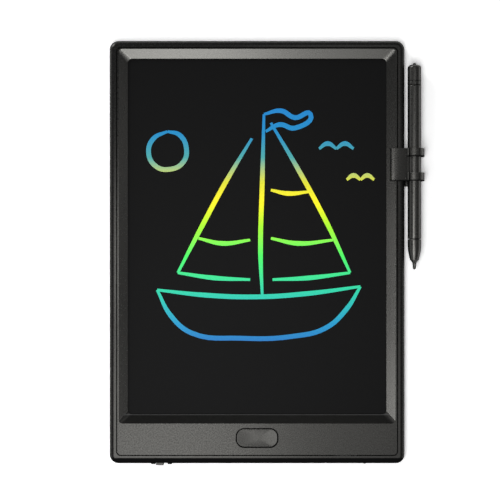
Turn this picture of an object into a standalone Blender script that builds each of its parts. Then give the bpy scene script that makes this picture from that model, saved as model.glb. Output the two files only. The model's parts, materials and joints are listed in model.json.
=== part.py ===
"""A liquid crystal writing tablet with its stylus and edge clip, as the pieces it comes apart into.

The tablet lies on its back: +X is its right side, +Y its top edge and +Z its writing side, and the origin is
the middle of the flat back. Lengths are in metres. Each piece is modelled where it lies in the closed tablet.
"""

import math

import bmesh
import bpy
from mathutils import Vector

# Outline, and the layers that add up to the thickness
BODY_WIDTH = 0.1711
BODY_HEIGHT = 0.2450
BODY_CORNER = 0.0052
LEAST_CORNER = 0.0010
BAND_LIFT = 0.0017
BAND_WALL = 0.0011
SEAT_GAP = 0.0002
BACKING_THICKNESS = 0.0008
BASE_FILM_THICKNESS = 0.0002
WRITING_FILM_THICKNESS = 0.0002
GASKET_THICKNESS = 0.0002
LAYER_GAP = 0.0001
LIP_THICKNESS = 0.0005
BEVEL_DROP = 0.0019

# Rear cover: a flat back, a raised band round it and the rim that frames the front
RIM_WIDTH = 0.0041
RIM_LOW_WIDTH = 0.0047
RIM_ROUND = 0.0029
RIM_FOOT_ROUND = 0.0012
RIM_WALL = 0.0022
RIM_LIP = 0.0016
BACK_WALL = 0.0012
BACK_CORNER = 0.0060
BAND_WIDTH = 0.0085
BAND_SLOPE = 0.0035
SLOPE_SHIFT = 0.0005
RIB_WIDTH = 0.0012
RIB_COLUMNS = 3
RIB_ROWS = 4

# Front frame: land, bevel and window lip, the chin below them, and a skirt inside the rim
FRAME_GAP = 0.0004
FRAME_EDGE = 0.0002
FRAME_CORNER = 0.0022
LAND_WIDTH = 0.0011
LAND_TOP_WIDTH = 0.0006
BEVEL_WIDTH = 0.0050
BEVEL_TOP_WIDTH = 0.0053
BEVEL_CORNER = 0.0020
WINDOW_CORNER = 0.0026
SKIRT_WALL = 0.0012
SKIRT_LIFT = 0.0004
CHIN_WALL = 0.0013
POCKET_MARGIN = 0.0006
HOOK_LENGTH = 0.0060
HOOK_REACH = 0.0011
HOOK_GAP = 0.0003
HOOK_CATCH = 0.0007
HOOK_RAMP = 0.0008
SIDE_HOOKS = 3
SIDE_HOOK_SHARE = 0.68
TOP_HOOK_SHARE = 0.60

# Screen layers, which reach under the frame's lip
FILM_OVERLAP = 0.0036
FILM_CORNER = 0.0020
FILM_TO_TRAY = 0.0012
GASKET_MARGIN = 0.0004

# Screws: the case screws enter from the back, the board screws from inside
CASE_SCREW_INSET = 0.0150
CASE_HEAD_RADIUS = 0.0017
CASE_HEAD_HEIGHT = 0.0009
CASE_SHANK_RADIUS = 0.00080
CASE_HEAD_CLEARANCE = 0.0003
CASE_SCREW_END_GAP = 0.0004
RECESS_FLOOR = 0.0014
BOSS_RADIUS = 0.0027
BOSS_MARGIN = 0.0017
BOSS_GAP = 0.0003
FRAME_BOSS_RADIUS = 0.0022
SCREW_CLEARANCE = 0.0002
BOARD_SCREW_HEAD_RADIUS = 0.0017
BOARD_SCREW_HEAD_HEIGHT = 0.0008
BOARD_SCREW_SHANK_RADIUS = 0.0007
BOARD_SCREW_DEPTH = 0.0021
BOARD_BOSS_RADIUS = 0.0022
SCREW_EDGE = 0.00025
CROSS_REACH = 0.0010
CROSS_WIDTH = 0.0005
CROSS_DEPTH = 0.0005

# Erase button and the switch below it
BUTTON_WIDTH = 0.0245
BUTTON_DEPTH = 0.01125
BUTTON_CORNER = 0.0048
BUTTON_HEIGHT_SHARE = 0.545
BUTTON_GAP = 0.0004
BUTTON_SINK = 0.0001
BUTTON_EDGE = 0.0003
BUTTON_DISH = 0.00035
BUTTON_ROOF = 0.0008
BUTTON_WALL = 0.0012
BUTTON_TRAVEL = 0.0004
FLANGE_REACH = 0.0012
FLANGE_THICKNESS = 0.0005
FLANGE_GAP = 0.00035
TACT_WIDTH = 0.0060
TACT_DEPTH = 0.0036
TACT_HEIGHT = 0.0010
TACT_BASE = 0.0002
PLUNGER_RADIUS = 0.00075
PLUNGER_CLEARANCE = 0.0002
PLUNGER_EDGE = 0.0002

# Control board and what is soldered to it; the shares are of the free stretches and of the board's depth
BOARD_THICKNESS = 0.0008
BOARD_MARGIN = 0.0005
BOARD_TO_SKIRT = 0.0016
BOARD_BEYOND_LOCK = 0.00865
BOARD_TO_TRAY = 0.0058
BOARD_CORNER = 0.0008
LEFT_SCREW_SHARE = 0.12
COIL_SHARE = 0.36
CONNECTOR_SHARE = 0.40
CHIP_SHARE = 0.72
RIGHT_SCREW_SHARE = 0.30
CAPACITOR_SHARE = 0.30
LOWER_ROW_SHARE = 0.33
BOARD_SCREW_SHARE = 0.76
CHIP_WIDTH = 0.0050
CHIP_DEPTH = 0.0040
CHIP_HEIGHT = 0.0009
COIL_RADIUS_SHARE = 0.23
COIL_WAIST_SHARE = 0.65
COIL_FLANGE = 0.0004
COIL_HEIGHT = 0.0016
CAPACITOR_WIDTH = 0.0020
CAPACITOR_DEPTH = 0.0013
CAPACITOR_HEIGHT = 0.0012
CONNECTOR_WIDTH = 0.0092
CONNECTOR_DEPTH_SHARE = 0.28
CONNECTOR_HEIGHT = 0.0010
CONNECTOR_MARGIN = 0.0002
RIBBON_WIDTH = 0.0080
RIBBON_THICKNESS = 0.00015
RIBBON_GAP = 0.0003
PART_EDGE = 0.0002

# Erase lock: a knob on the bottom edge that moves the lever of a slide switch
LOCK_INSET = 0.0302
LOCK_TRAVEL = 0.0020
LOCK_SLOT_GAP = 0.00025
LOCK_SLOT_MARGIN = 0.0002
KNOB_WIDTH = 0.0044
KNOB_HEIGHT = 0.0018
KNOB_PROUD = 0.0011
KNOB_WING = 0.0009
KNOB_WING_GAP = 0.0003
KNOB_GROOVES = 3
KNOB_GROOVE_WIDTH = 0.0004
KNOB_GROOVE_DEPTH = 0.00025
KNOB_EDGE = 0.0003
GUARD_WIDTH = 0.0026
GUARD_HEIGHT = 0.0018
GUARD_PROUD = 0.0004
GUARD_EDGE = 0.0004
SWITCH_WIDTH = 0.0066
SWITCH_DEPTH = 0.0028
SWITCH_HEIGHT = 0.0014
SWITCH_SLOT_DEPTH = 0.0014
LEVER_WIDTH = 0.0014
LEVER_HEIGHT = 0.0005
LEVER_CLEARANCE = 0.00015
LEVER_REACH = 0.0017
KNOB_END_GAP = 0.0004
FORK_WALL = 0.0015

# Battery tray, its coin cell and the two contact leaves
COIN_DIAMETER = 0.0200
COIN_THICKNESS = 0.0016
COIN_CAP_INSET = 0.0012
COIN_CAP_HEIGHT = 0.0003
COIN_EDGE = 0.0002
COIN_CLEARANCE = 0.0003
TRAY_SIDE_WALL = 0.00145
TRAY_END_WALL = 0.0010
TRAY_LIP = 0.0020
TRAY_FLOOR = 0.0005
TRAY_LIFT = 0.00025
TRAY_CLEARANCE = 0.0003
TRAY_INSET = 0.0340
NAIL_RIDGE_WIDTH = 0.0014
NAIL_RIDGE_PROUD = 0.00035
NAIL_RIDGE_MARGIN = 0.0002
TRAY_NOTCH = 0.0008
RAIL_WIDTH = 0.0014
RAIL_INSET = 0.0022
LEAF_THICKNESS = 0.0002
LEAF_GAP = 0.00015
LEAF_PAD_SHARE = 0.216
LEAF_RISE = 0.0025
PLUS_LEAF_WIDTH = 0.0034
PLUS_LEAF_REACH = 0.0025
MINUS_LEAF_WIDTH = 0.0026
MINUS_LEAF_PAD = 0.0020
MINUS_LEAF_PLACE = 0.0035
BUMP_HALF_WIDTH = 0.00055
BUMP_FOOT = 0.0014
TRAY_SLOT_HALF_WIDTH = 0.0027

# Stylus, from the nib's tip upwards
PEN_LENGTH = 0.1197
PEN_RADIUS = 0.0039
NIB_LENGTH = 0.0038
NIB_TIP_RADIUS = 0.0009
NIB_ROOT_RADIUS = 0.00115
NIB_SHANK_RADIUS = 0.0009
NIB_SHANK_LENGTH = 0.0050
TIP_LENGTH = 0.0137
TIP_MOUTH_RADIUS = 0.0014
TIP_NOSE_RADIUS = 0.00245
TIP_NOSE_LENGTH = 0.0014
TIP_STRAIGHT = 0.0035
CAP_COLLAR = 0.0023
CAP_BODY = 0.0080
CAP_DOME = 0.0017
CAP_NUB_RADIUS = 0.0011
CAP_NUB_TOP_RADIUS = 0.0007
CAP_NUB_HEIGHT = 0.0013
PEN_SEAM = 0.0002
PEN_SEAM_EDGE = 0.00015
PEN_WALL = 0.0008
SPIGOT_CLEARANCE = 0.0002
SPIGOT_LENGTH = 0.0048
PEN_ABOVE_CLIP = 0.0496

# Pen clip: a front and a rear jaw on a spine along the rim, and two split rings
CLIP_GAP = 0.00025
CLIP_WALL = 0.0014
REAR_JAW_WALL = 0.0011
FRONT_JAW_REACH = 0.0087
REAR_JAW_MARGIN = 0.0008
CLIP_LENGTH = 0.0190
CLIP_TAIL = 0.0028
CLIP_TOP = 0.0600
BEAD_DEPTH = 0.0008
BEAD_WIDTH = 0.0012
SADDLE_WALL = 0.0012
SADDLE_DEPTH = 0.0006
SADDLE_DROP = 0.0004
SADDLE_SLOPE = 0.0075
RING_WALL = 0.00175
RING_HEIGHT = 0.0048
RING_END_INSET = 0.0001
PEN_CLEARANCE = 0.00015
RING_SLIT = 0.0007
RING_SLIT_ANGLE = math.radians(128)

# How finely round shapes are divided
CORNER_STEPS = 8
ROUND_STEPS = 6
TURN_STEPS = 28
SCREW_STEPS = 16
COIN_STEPS = 40
RING_STEPS = 36
EDGE_STEPS = 2
DISH_STEPS = 5
ARC_STEPS = 5

CUT_OVERRUN = 0.0005
WELD_DISTANCE = 0.000001
SMOOTH_ANGLE = math.radians(35)
HALF = 0.5

# Levels, from the underside up
BAND_TOP = BAND_LIFT + BAND_WALL
BACKING_BOTTOM = BAND_TOP + SEAT_GAP
BACKING_TOP = BACKING_BOTTOM + BACKING_THICKNESS
BASE_FILM_BOTTOM = BACKING_TOP + LAYER_GAP
BASE_FILM_TOP = BASE_FILM_BOTTOM + BASE_FILM_THICKNESS
WRITING_FILM_BOTTOM = BASE_FILM_TOP + LAYER_GAP
WRITING_FILM_TOP = WRITING_FILM_BOTTOM + WRITING_FILM_THICKNESS
GASKET_BOTTOM = WRITING_FILM_TOP + LAYER_GAP
GASKET_TOP = GASKET_BOTTOM + GASKET_THICKNESS
LIP_BOTTOM = GASKET_TOP + LAYER_GAP
LIP_TOP = LIP_BOTTOM + LIP_THICKNESS
TOP = LIP_TOP + BEVEL_DROP
CHIN_UNDER = TOP - CHIN_WALL
BOARD_BOTTOM = BAND_TOP + SEAT_GAP
BOARD_TOP = BOARD_BOTTOM + BOARD_THICKNESS
SOLDER_LEVEL = BOARD_TOP + LAYER_GAP

# Battery tray's size and place
TRAY_WIDTH = COIN_DIAMETER + 2 * (COIN_CLEARANCE + TRAY_SIDE_WALL)
TRAY_LENGTH = TRAY_LIP + COIN_DIAMETER + 2 * COIN_CLEARANCE + TRAY_END_WALL
TRAY_X = BODY_WIDTH / 2 - TRAY_INSET
TRAY_BOTTOM = BAND_TOP + TRAY_LIFT
COIN_BOTTOM = TRAY_BOTTOM + TRAY_FLOOR + LAYER_GAP
TRAY_TOP = COIN_BOTTOM + COIN_THICKNESS
TRAY_INNER_END = -BODY_HEIGHT / 2 + TRAY_LENGTH
COIN_Y = -BODY_HEIGHT / 2 + TRAY_LIP + COIN_CLEARANCE + COIN_DIAMETER / 2
TRAY_LEFT = TRAY_X - TRAY_WIDTH / 2
TRAY_RIGHT = TRAY_X + TRAY_WIDTH / 2

# Outlines of the frame, the bevel and the window, as left, right, bottom and top
FRAME_INSET = RIM_WIDTH + FRAME_GAP
FRAME_X = BODY_WIDTH / 2 - FRAME_INSET
FRAME_TOP_Y = BODY_HEIGHT / 2 - FRAME_INSET
FRAME_BOTTOM_Y = -BODY_HEIGHT / 2 + RIM_LOW_WIDTH + FRAME_GAP
BEVEL_X = FRAME_X - LAND_WIDTH
BEVEL_TOP_Y = FRAME_TOP_Y - LAND_TOP_WIDTH
FILM_BOTTOM_Y = TRAY_INNER_END + FILM_TO_TRAY
WINDOW_X = BEVEL_X - BEVEL_WIDTH
WINDOW_TOP_Y = BEVEL_TOP_Y - BEVEL_TOP_WIDTH
WINDOW_BOTTOM_Y = FILM_BOTTOM_Y + FILM_OVERLAP
CHIN_TOP_Y = WINDOW_BOTTOM_Y - BEVEL_WIDTH
FRAME_OUTLINE = (-FRAME_X, FRAME_X, FRAME_BOTTOM_Y, FRAME_TOP_Y)
BEVEL_OUTLINE = (-BEVEL_X, BEVEL_X, CHIN_TOP_Y, BEVEL_TOP_Y)
WINDOW_OUTLINE = (-WINDOW_X, WINDOW_X, WINDOW_BOTTOM_Y, WINDOW_TOP_Y)

# Erase button, switch and plunger
BUTTON_Y = FRAME_BOTTOM_Y + BUTTON_HEIGHT_SHARE * (CHIN_TOP_Y - FRAME_BOTTOM_Y)
BUTTON_REACH = BUTTON_WIDTH / 2 + FLANGE_REACH
BUTTON_TOP = TOP - BUTTON_SINK
POCKET_ROOF = BUTTON_TOP - BUTTON_DISH - BUTTON_ROOF
FLANGE_TOP = CHIN_UNDER - FLANGE_GAP
FLANGE_BOTTOM = FLANGE_TOP - FLANGE_THICKNESS
TACT_BORE_FLOOR = SOLDER_LEVEL + TACT_BASE
PLUNGER_BOTTOM = TACT_BORE_FLOOR + BUTTON_TRAVEL + LAYER_GAP
PLUNGER_TOP = POCKET_ROOF - LAYER_GAP

# Screws
CASE_SCREW_Y = FILM_BOTTOM_Y - BOSS_RADIUS - BOSS_MARGIN
OUTER_SCREW_X = BODY_WIDTH / 2 - CASE_SCREW_INSET
INNER_SCREW_X = (BUTTON_REACH + TRAY_LEFT) / 2
CASE_SCREW_PLACES = {
    "case_screw_left": -OUTER_SCREW_X,
    "case_screw_inner_left": -INNER_SCREW_X,
    "case_screw_inner_right": INNER_SCREW_X,
    "case_screw_right": OUTER_SCREW_X,
}
REAR_BOSS_TOP = BAND_TOP - BOSS_GAP / 2
FRAME_BOSS_BOTTOM = REAR_BOSS_TOP + BOSS_GAP
CASE_SCREW_TOP = CHIN_UNDER - CASE_SCREW_END_GAP

# Erase lock
LOCK_SLOT_WIDTH = KNOB_WIDTH + LOCK_TRAVEL + 2 * LOCK_SLOT_GAP
LOCK_SLOT_X = -BODY_WIDTH / 2 + LOCK_INSET
KNOB_X = LOCK_SLOT_X - LOCK_TRAVEL / 2
LOCK_LEVEL = SOLDER_LEVEL + SWITCH_HEIGHT / 2
LOCK_SLOT_LOW = LOCK_LEVEL - KNOB_HEIGHT / 2 - LOCK_SLOT_MARGIN
LOCK_SLOT_HIGH = LOCK_LEVEL + KNOB_HEIGHT / 2 + LOCK_SLOT_MARGIN

# Control board
SKIRT_INNER_Y = FRAME_BOTTOM_Y + SKIRT_WALL
BOARD_LOW_Y = SKIRT_INNER_Y + BOARD_TO_SKIRT
BOARD_HIGH_Y = CASE_SCREW_Y - BOSS_RADIUS - BOARD_MARGIN
BOARD_DEPTH = BOARD_HIGH_Y - BOARD_LOW_Y
BOARD_LEFT = LOCK_SLOT_X - BOARD_BEYOND_LOCK
BOARD_RIGHT = TRAY_LEFT - BOARD_TO_TRAY
LEFT_STRETCH = (LOCK_SLOT_X + SWITCH_WIDTH / 2, -BUTTON_REACH)
RIGHT_STRETCH = (BUTTON_REACH, BOARD_RIGHT)
LOWER_ROW_Y = BOARD_LOW_Y + BOARD_DEPTH * LOWER_ROW_SHARE
COIL_RADIUS = BOARD_DEPTH * COIL_RADIUS_SHARE
COIL_WAIST = COIL_RADIUS * COIL_WAIST_SHARE
CONNECTOR_DEPTH = BOARD_DEPTH * CONNECTOR_DEPTH_SHARE
CONNECTOR_HIGH_Y = BOARD_HIGH_Y - CONNECTOR_MARGIN
KNOB_INNER_Y = BOARD_LOW_Y - KNOB_END_GAP


def between(stretch, share):
    """The place at a share of the way along a stretch."""
    start, end = stretch
    return start + (end - start) * share


BOARD_SCREW_Y = between((BOARD_LOW_Y, BOARD_HIGH_Y), BOARD_SCREW_SHARE)
BOARD_SCREW_PLACES = {
    "board_screw_left": between(LEFT_STRETCH, LEFT_SCREW_SHARE),
    "board_screw_right": between(RIGHT_STRETCH, RIGHT_SCREW_SHARE),
}
CONNECTOR_X = between(LEFT_STRETCH, CONNECTOR_SHARE)

# Contacts
MINUS_LEAF_Y = COIN_Y + MINUS_LEAF_PLACE
PLUS_LEAF_Y = LOWER_ROW_Y
RAIL_LOW_Y = MINUS_LEAF_Y + MINUS_LEAF_WIDTH / 2 + TRAY_CLEARANCE

# Clip and stylus
RING_INNER_RADIUS = PEN_RADIUS + PEN_CLEARANCE
RING_OUTER_RADIUS = RING_INNER_RADIUS + RING_WALL
PEN_X = BODY_WIDTH / 2 + CLIP_GAP + SADDLE_WALL + RING_INNER_RADIUS
CLIP_BOTTOM = BAND_LIFT - CLIP_GAP - REAR_JAW_WALL
PEN_Z = CLIP_BOTTOM + RING_OUTER_RADIUS
CLIP_TIP = BODY_WIDTH / 2 - FRONT_JAW_REACH
CLIP_REAR_TIP = BODY_WIDTH / 2 - BAND_WIDTH + REAR_JAW_MARGIN
SADDLE_X = BODY_WIDTH / 2 + CLIP_GAP + SADDLE_WALL + SADDLE_DEPTH
PEN_TIP_Y = CLIP_TOP + PEN_ABOVE_CLIP - PEN_LENGTH
SPIGOT_RADIUS = PEN_RADIUS - PEN_WALL - SPIGOT_CLEARANCE
TIP_TOP = NIB_LENGTH + TIP_LENGTH
CAP_BOTTOM = PEN_LENGTH - CAP_NUB_HEIGHT - CAP_DOME - CAP_BODY - CAP_COLLAR


def clear_scene():
    """Remove what a new file starts with."""
    for item in list(bpy.data.objects):
        bpy.data.objects.remove(item, do_unlink=True)


def material(name, color, roughness, metallic=0):
    """A plain Principled material of a colour, roughness and metallic value."""
    made = bpy.data.materials.new(name)
    made.use_nodes = True
    shader = made.node_tree.nodes["Principled BSDF"]
    shader.inputs["Base Color"].default_value = (*color, 1)
    shader.inputs["Roughness"].default_value = roughness
    shader.inputs["Metallic"].default_value = metallic
    made.diffuse_color = (*color, 1)
    return made


def axis_empty(name, location, parent=None):
    """An empty that stands on the axis of a moving piece and carries what moves with it."""
    empty = bpy.data.objects.new(name, None)
    bpy.context.scene.collection.objects.link(empty)
    empty.location = location
    empty.parent = parent
    return empty


def place(name, bm, finish, origin=(0, 0, 0), parent=None):
    """Make a named object of a bmesh modelled in place, with its own origin there."""
    bmesh.ops.translate(bm, verts=bm.verts, vec=-Vector(origin))
    mesh = bpy.data.meshes.new(name)
    bm.to_mesh(mesh)
    bm.free()
    mesh.shade_smooth()
    mesh.set_sharp_from_angle(angle=SMOOTH_ANGLE)
    mesh.materials.append(finish)
    made = bpy.data.objects.new(name, mesh)
    bpy.context.scene.collection.objects.link(made)
    made.parent = parent
    if parent is None:
        made.location = origin
    return made


def rounded_ring(left, right, bottom, top, radius, z):
    """The points of a rounded rectangle at height z, anticlockwise from its right side."""
    centres = (
        (right - radius, top - radius),
        (left + radius, top - radius),
        (left + radius, bottom + radius),
        (right - radius, bottom + radius),
    )
    points = []
    for quarter, (x, y) in enumerate(centres):
        for step in range(CORNER_STEPS + 1):
            angle = (quarter + step / CORNER_STEPS) * math.pi / 2
            points.append(Vector((x + radius * math.cos(angle), y + radius * math.sin(angle), z)))
    return points


def grown_ring(outline, growth, radius, z):
    """A rounded ring round an outline of left, right, bottom and top, grown on every side."""
    left, right, bottom, top = outline
    return rounded_ring(left - growth, right + growth, bottom - growth, top + growth, radius, z)


def shell_ring(inset, z, radius=None):
    """A ring of the body's outline, drawn in by inset."""
    if radius is None:
        radius = max(BODY_CORNER - inset, LEAST_CORNER)
    body = (-BODY_WIDTH / 2, BODY_WIDTH / 2, -BODY_HEIGHT / 2, BODY_HEIGHT / 2)
    return grown_ring(body, -inset, radius, z)


def bridge(bm, lower, upper):
    """Skin the strip between two rings that have as many points."""
    for index in range(len(lower)):
        bm.faces.new((lower[index - 1], lower[index], upper[index], upper[index - 1]))


def loft(rings, closed=False):
    """A solid skinned through rings: capped at both ends, or joined end to end when closed."""
    bm = bmesh.new()
    loops = [[bm.verts.new(point) for point in ring] for ring in rings]
    for lower, upper in zip(loops, loops[1:]):
        bridge(bm, lower, upper)
    if closed:
        bridge(bm, loops[-1], loops[0])
    else:
        bm.faces.new(loops[0])
        bm.faces.new(loops[-1])
    bmesh.ops.recalc_face_normals(bm, faces=bm.faces)
    return bm


def prism(points, direction):
    """A solid made by extruding a flat outline of points along a direction."""
    bm = bmesh.new()
    face = bm.faces.new([bm.verts.new(point) for point in points])
    swept = bmesh.ops.extrude_face_region(bm, geom=[face])
    moved = [item for item in swept["geom"] if isinstance(item, bmesh.types.BMVert)]
    bmesh.ops.translate(bm, verts=moved, vec=direction)
    bmesh.ops.recalc_face_normals(bm, faces=bm.faces)
    return bm


def block(left, right, bottom, top, low, high, edge=0):
    """A box between its six faces, with its upright edges bevelled by edge."""
    bm = bmesh.new()
    bmesh.ops.create_cube(bm, size=1)
    bmesh.ops.scale(bm, verts=bm.verts, vec=(right - left, top - bottom, high - low))
    middle = ((left + right) / 2, (bottom + top) / 2, (low + high) / 2)
    bmesh.ops.translate(bm, verts=bm.verts, vec=middle)
    if edge:
        upright = [item for item in bm.edges if is_upright(item)]
        bmesh.ops.bevel(
            bm, geom=upright, offset=edge, segments=2, profile=HALF, affect="EDGES", material=-1
        )
    return bm


def is_upright(edge):
    """Whether an edge of a box runs along Z."""
    first, second = edge.verts
    return first.co.xy == second.co.xy


def chip_block(x, y, width, depth, height, edge=0):
    """A box of a width, depth and height that stands on the control board."""
    return block(
        x - width / 2, x + width / 2, y - depth / 2, y + depth / 2,
        SOLDER_LEVEL, SOLDER_LEVEL + height, edge,
    )


def plate(outline, growth, radius, low, high):
    """A flat plate with rounded corners."""
    return loft([grown_ring(outline, growth, radius, z) for z in (low, high)])


def turned(profile, x=0, y=0, steps=TURN_STEPS, tube=False):
    """A solid spun from a profile of radius and height; a tube's profile is closed on itself."""
    bm = bmesh.new()
    verts = [bm.verts.new((radius, 0, height)) for radius, height in profile]
    pairs = list(zip(verts, verts[1:]))
    if tube:
        pairs.append((verts[-1], verts[0]))
    edges = [bm.edges.new(pair) for pair in pairs]
    bmesh.ops.spin(
        bm, geom=verts + edges, cent=(0, 0, 0), axis=(0, 0, 1), angle=2 * math.pi, steps=steps,
        use_merge=True,
    )
    bmesh.ops.remove_doubles(bm, verts=bm.verts, dist=WELD_DISTANCE)
    bmesh.ops.recalc_face_normals(bm, faces=bm.faces)
    bmesh.ops.translate(bm, verts=bm.verts, vec=(x, y, 0))
    return bm


def rod(x, y, radius, low, high, steps=TURN_STEPS):
    """A plain round rod along Z."""
    return turned([(0, low), (radius, low), (radius, high), (0, high)], x, y, steps)


def stand_in(bm, group):
    """A passing object of a bmesh, for a Boolean."""
    mesh = bpy.data.meshes.new("stand_in")
    bm.to_mesh(mesh)
    bm.free()
    made = bpy.data.objects.new("stand_in", mesh)
    group.objects.link(made)
    return made


def boolean(base, others, operation):
    """The bmesh that is left when others are united with a base, or cut from it."""
    scene = bpy.context.scene.collection
    group = bpy.data.collections.new("others")
    scene.children.link(group)
    target = stand_in(base, scene)
    helpers = [stand_in(other, group) for other in others]
    step = target.modifiers.new("step", "BOOLEAN")
    step.operation = operation
    step.solver = "EXACT"
    step.operand_type = "COLLECTION"
    step.collection = group
    result = bmesh.new()
    result.from_object(target, bpy.context.evaluated_depsgraph_get())
    for item in (target, *helpers):
        mesh = item.data
        bpy.data.objects.remove(item)
        bpy.data.meshes.remove(mesh)
    bpy.data.collections.remove(group)
    return result


def united(base, others):
    """A base with others joined to it."""
    return boolean(base, others, "UNION")


def without(base, others):
    """A base with others cut from it."""
    return boolean(base, others, "DIFFERENCE")


def arc(centre, radius, start, end, steps):
    """Points of an arc in a plane, as pairs, from one angle to another."""
    points = []
    for step in range(steps + 1):
        angle = start + (end - start) * step / steps
        points.append((centre[0] + radius * math.cos(angle), centre[1] + radius * math.sin(angle)))
    return points


def rim_section():
    """The rim's outer side as (inset, height) pairs, from the foot round to the top round."""
    foot = arc(
        (RIM_FOOT_ROUND, BAND_LIFT + RIM_FOOT_ROUND), RIM_FOOT_ROUND,
        -math.pi / 2, -math.pi, ROUND_STEPS // 2,
    )
    shoulder = arc((RIM_ROUND, TOP - RIM_ROUND), RIM_ROUND, math.pi, math.pi / 2, ROUND_STEPS)
    return foot + shoulder


def rear_shell():
    """The rear cover's shell: back, raised band, rim and the undercut that the hooks catch."""
    back_inset = BAND_WIDTH + BAND_SLOPE
    rings = [
        shell_ring(back_inset, 0, BACK_CORNER),
        shell_ring(BAND_WIDTH, BAND_LIFT, BACK_CORNER + BAND_SLOPE),
    ]
    rings += [shell_ring(inset, height) for inset, height in rim_section()]
    opening_corner = FRAME_CORNER + FRAME_GAP
    rings += [
        grown_ring(FRAME_OUTLINE, FRAME_GAP, opening_corner, TOP),
        grown_ring(FRAME_OUTLINE, FRAME_GAP, opening_corner, TOP - RIM_LIP),
        shell_ring(RIM_WALL, TOP - RIM_LIP),
        shell_ring(RIM_WALL, BAND_TOP),
        shell_ring(BAND_WIDTH + SLOPE_SHIFT, BAND_TOP, BACK_CORNER + BAND_SLOPE),
        shell_ring(back_inset + SLOPE_SHIFT, BACK_WALL, BACK_CORNER),
    ]
    return loft(rings)


def floor_ribs():
    """The ribs that carry the backing board, in columns and rows."""
    end_x = BODY_WIDTH / 2 - BAND_WIDTH - BAND_SLOPE
    high_y = BODY_HEIGHT / 2 - BAND_WIDTH - BAND_SLOPE
    low_y = FILM_BOTTOM_Y
    base = BACK_WALL / 2
    ribs = []
    for column in range(RIB_COLUMNS):
        x = between((-end_x, end_x), (column + 1) / (RIB_COLUMNS + 1))
        ribs.append(block(x - RIB_WIDTH / 2, x + RIB_WIDTH / 2, low_y, high_y, base, BAND_TOP))
    for row in range(RIB_ROWS):
        y = between((low_y, high_y), (row + HALF) / RIB_ROWS)
        ribs.append(block(-end_x, end_x, y - RIB_WIDTH / 2, y + RIB_WIDTH / 2, base, BAND_TOP))
    return ribs


def tray_rails():
    """Two short rails that carry the inner end of the battery tray."""
    rails = []
    for x in (TRAY_LEFT + RAIL_INSET, TRAY_RIGHT - RAIL_INSET):
        rails.append(
            block(
                x - RAIL_WIDTH / 2, x + RAIL_WIDTH / 2, RAIL_LOW_Y, TRAY_INNER_END,
                BACK_WALL / 2, BAND_TOP,
            )
        )
    return rails


def guard_bumps():
    """The bumps on the bottom edge that guard the lock knob, one each side of its slot."""
    outer = -BODY_HEIGHT / 2 - GUARD_PROUD
    inner = -BODY_HEIGHT / 2 + RIM_WALL / 2
    low = LOCK_LEVEL - GUARD_HEIGHT / 2
    bumps = []
    for side in (-1, 1):
        near = LOCK_SLOT_X + side * LOCK_SLOT_WIDTH / 2
        far = near + side * GUARD_WIDTH
        bumps.append(
            block(min(near, far), max(near, far), outer, inner, low, low + GUARD_HEIGHT, GUARD_EDGE)
        )
    return bumps


def lock_slot():
    """The cutter of the slot that the lock knob runs in."""
    return block(
        LOCK_SLOT_X - LOCK_SLOT_WIDTH / 2, LOCK_SLOT_X + LOCK_SLOT_WIDTH / 2,
        -BODY_HEIGHT / 2 - GUARD_PROUD - CUT_OVERRUN, BOARD_LOW_Y, LOCK_SLOT_LOW, LOCK_SLOT_HIGH,
    )


def tray_mouth(low):
    """The cutter of the battery tray's mouth, from a level up to just over the tray."""
    return block(
        TRAY_LEFT - TRAY_CLEARANCE, TRAY_RIGHT + TRAY_CLEARANCE,
        -BODY_HEIGHT / 2 - CUT_OVERRUN, BOARD_LOW_Y, low, TRAY_TOP + TRAY_CLEARANCE,
    )


def rear_cover(finish):
    """The rear cover: its shell, ribs, bosses and rails, and the openings in its bottom edge."""
    base = BACK_WALL / 2
    bosses = [
        rod(x, CASE_SCREW_Y, BOSS_RADIUS, base, REAR_BOSS_TOP) for x in CASE_SCREW_PLACES.values()
    ]
    seats = [
        rod(x, BOARD_SCREW_Y, BOARD_BOSS_RADIUS, base, BAND_TOP)
        for x in BOARD_SCREW_PLACES.values()
    ]
    added = floor_ribs() + tray_rails() + guard_bumps() + bosses + seats
    bm = united(rear_shell(), added)
    head = CASE_HEAD_RADIUS + CASE_HEAD_CLEARANCE
    shank = CASE_SHANK_RADIUS + SCREW_CLEARANCE
    holes = [
        turned(
            [
                (0, -CUT_OVERRUN), (head, -CUT_OVERRUN), (head, RECESS_FLOOR), (shank, RECESS_FLOOR),
                (shank, REAR_BOSS_TOP + CUT_OVERRUN), (0, REAR_BOSS_TOP + CUT_OVERRUN),
            ],
            x, CASE_SCREW_Y,
        )
        for x in CASE_SCREW_PLACES.values()
    ]
    pilot = BOARD_SCREW_SHANK_RADIUS + SCREW_CLEARANCE
    holes += [
        rod(x, BOARD_SCREW_Y, pilot, BACK_WALL / 2, BAND_TOP + CUT_OVERRUN, SCREW_STEPS)
        for x in BOARD_SCREW_PLACES.values()
    ]
    cuts = holes + [lock_slot(), tray_mouth(TRAY_BOTTOM - TRAY_CLEARANCE)]
    place("rear_cover", without(bm, cuts), finish)


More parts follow.
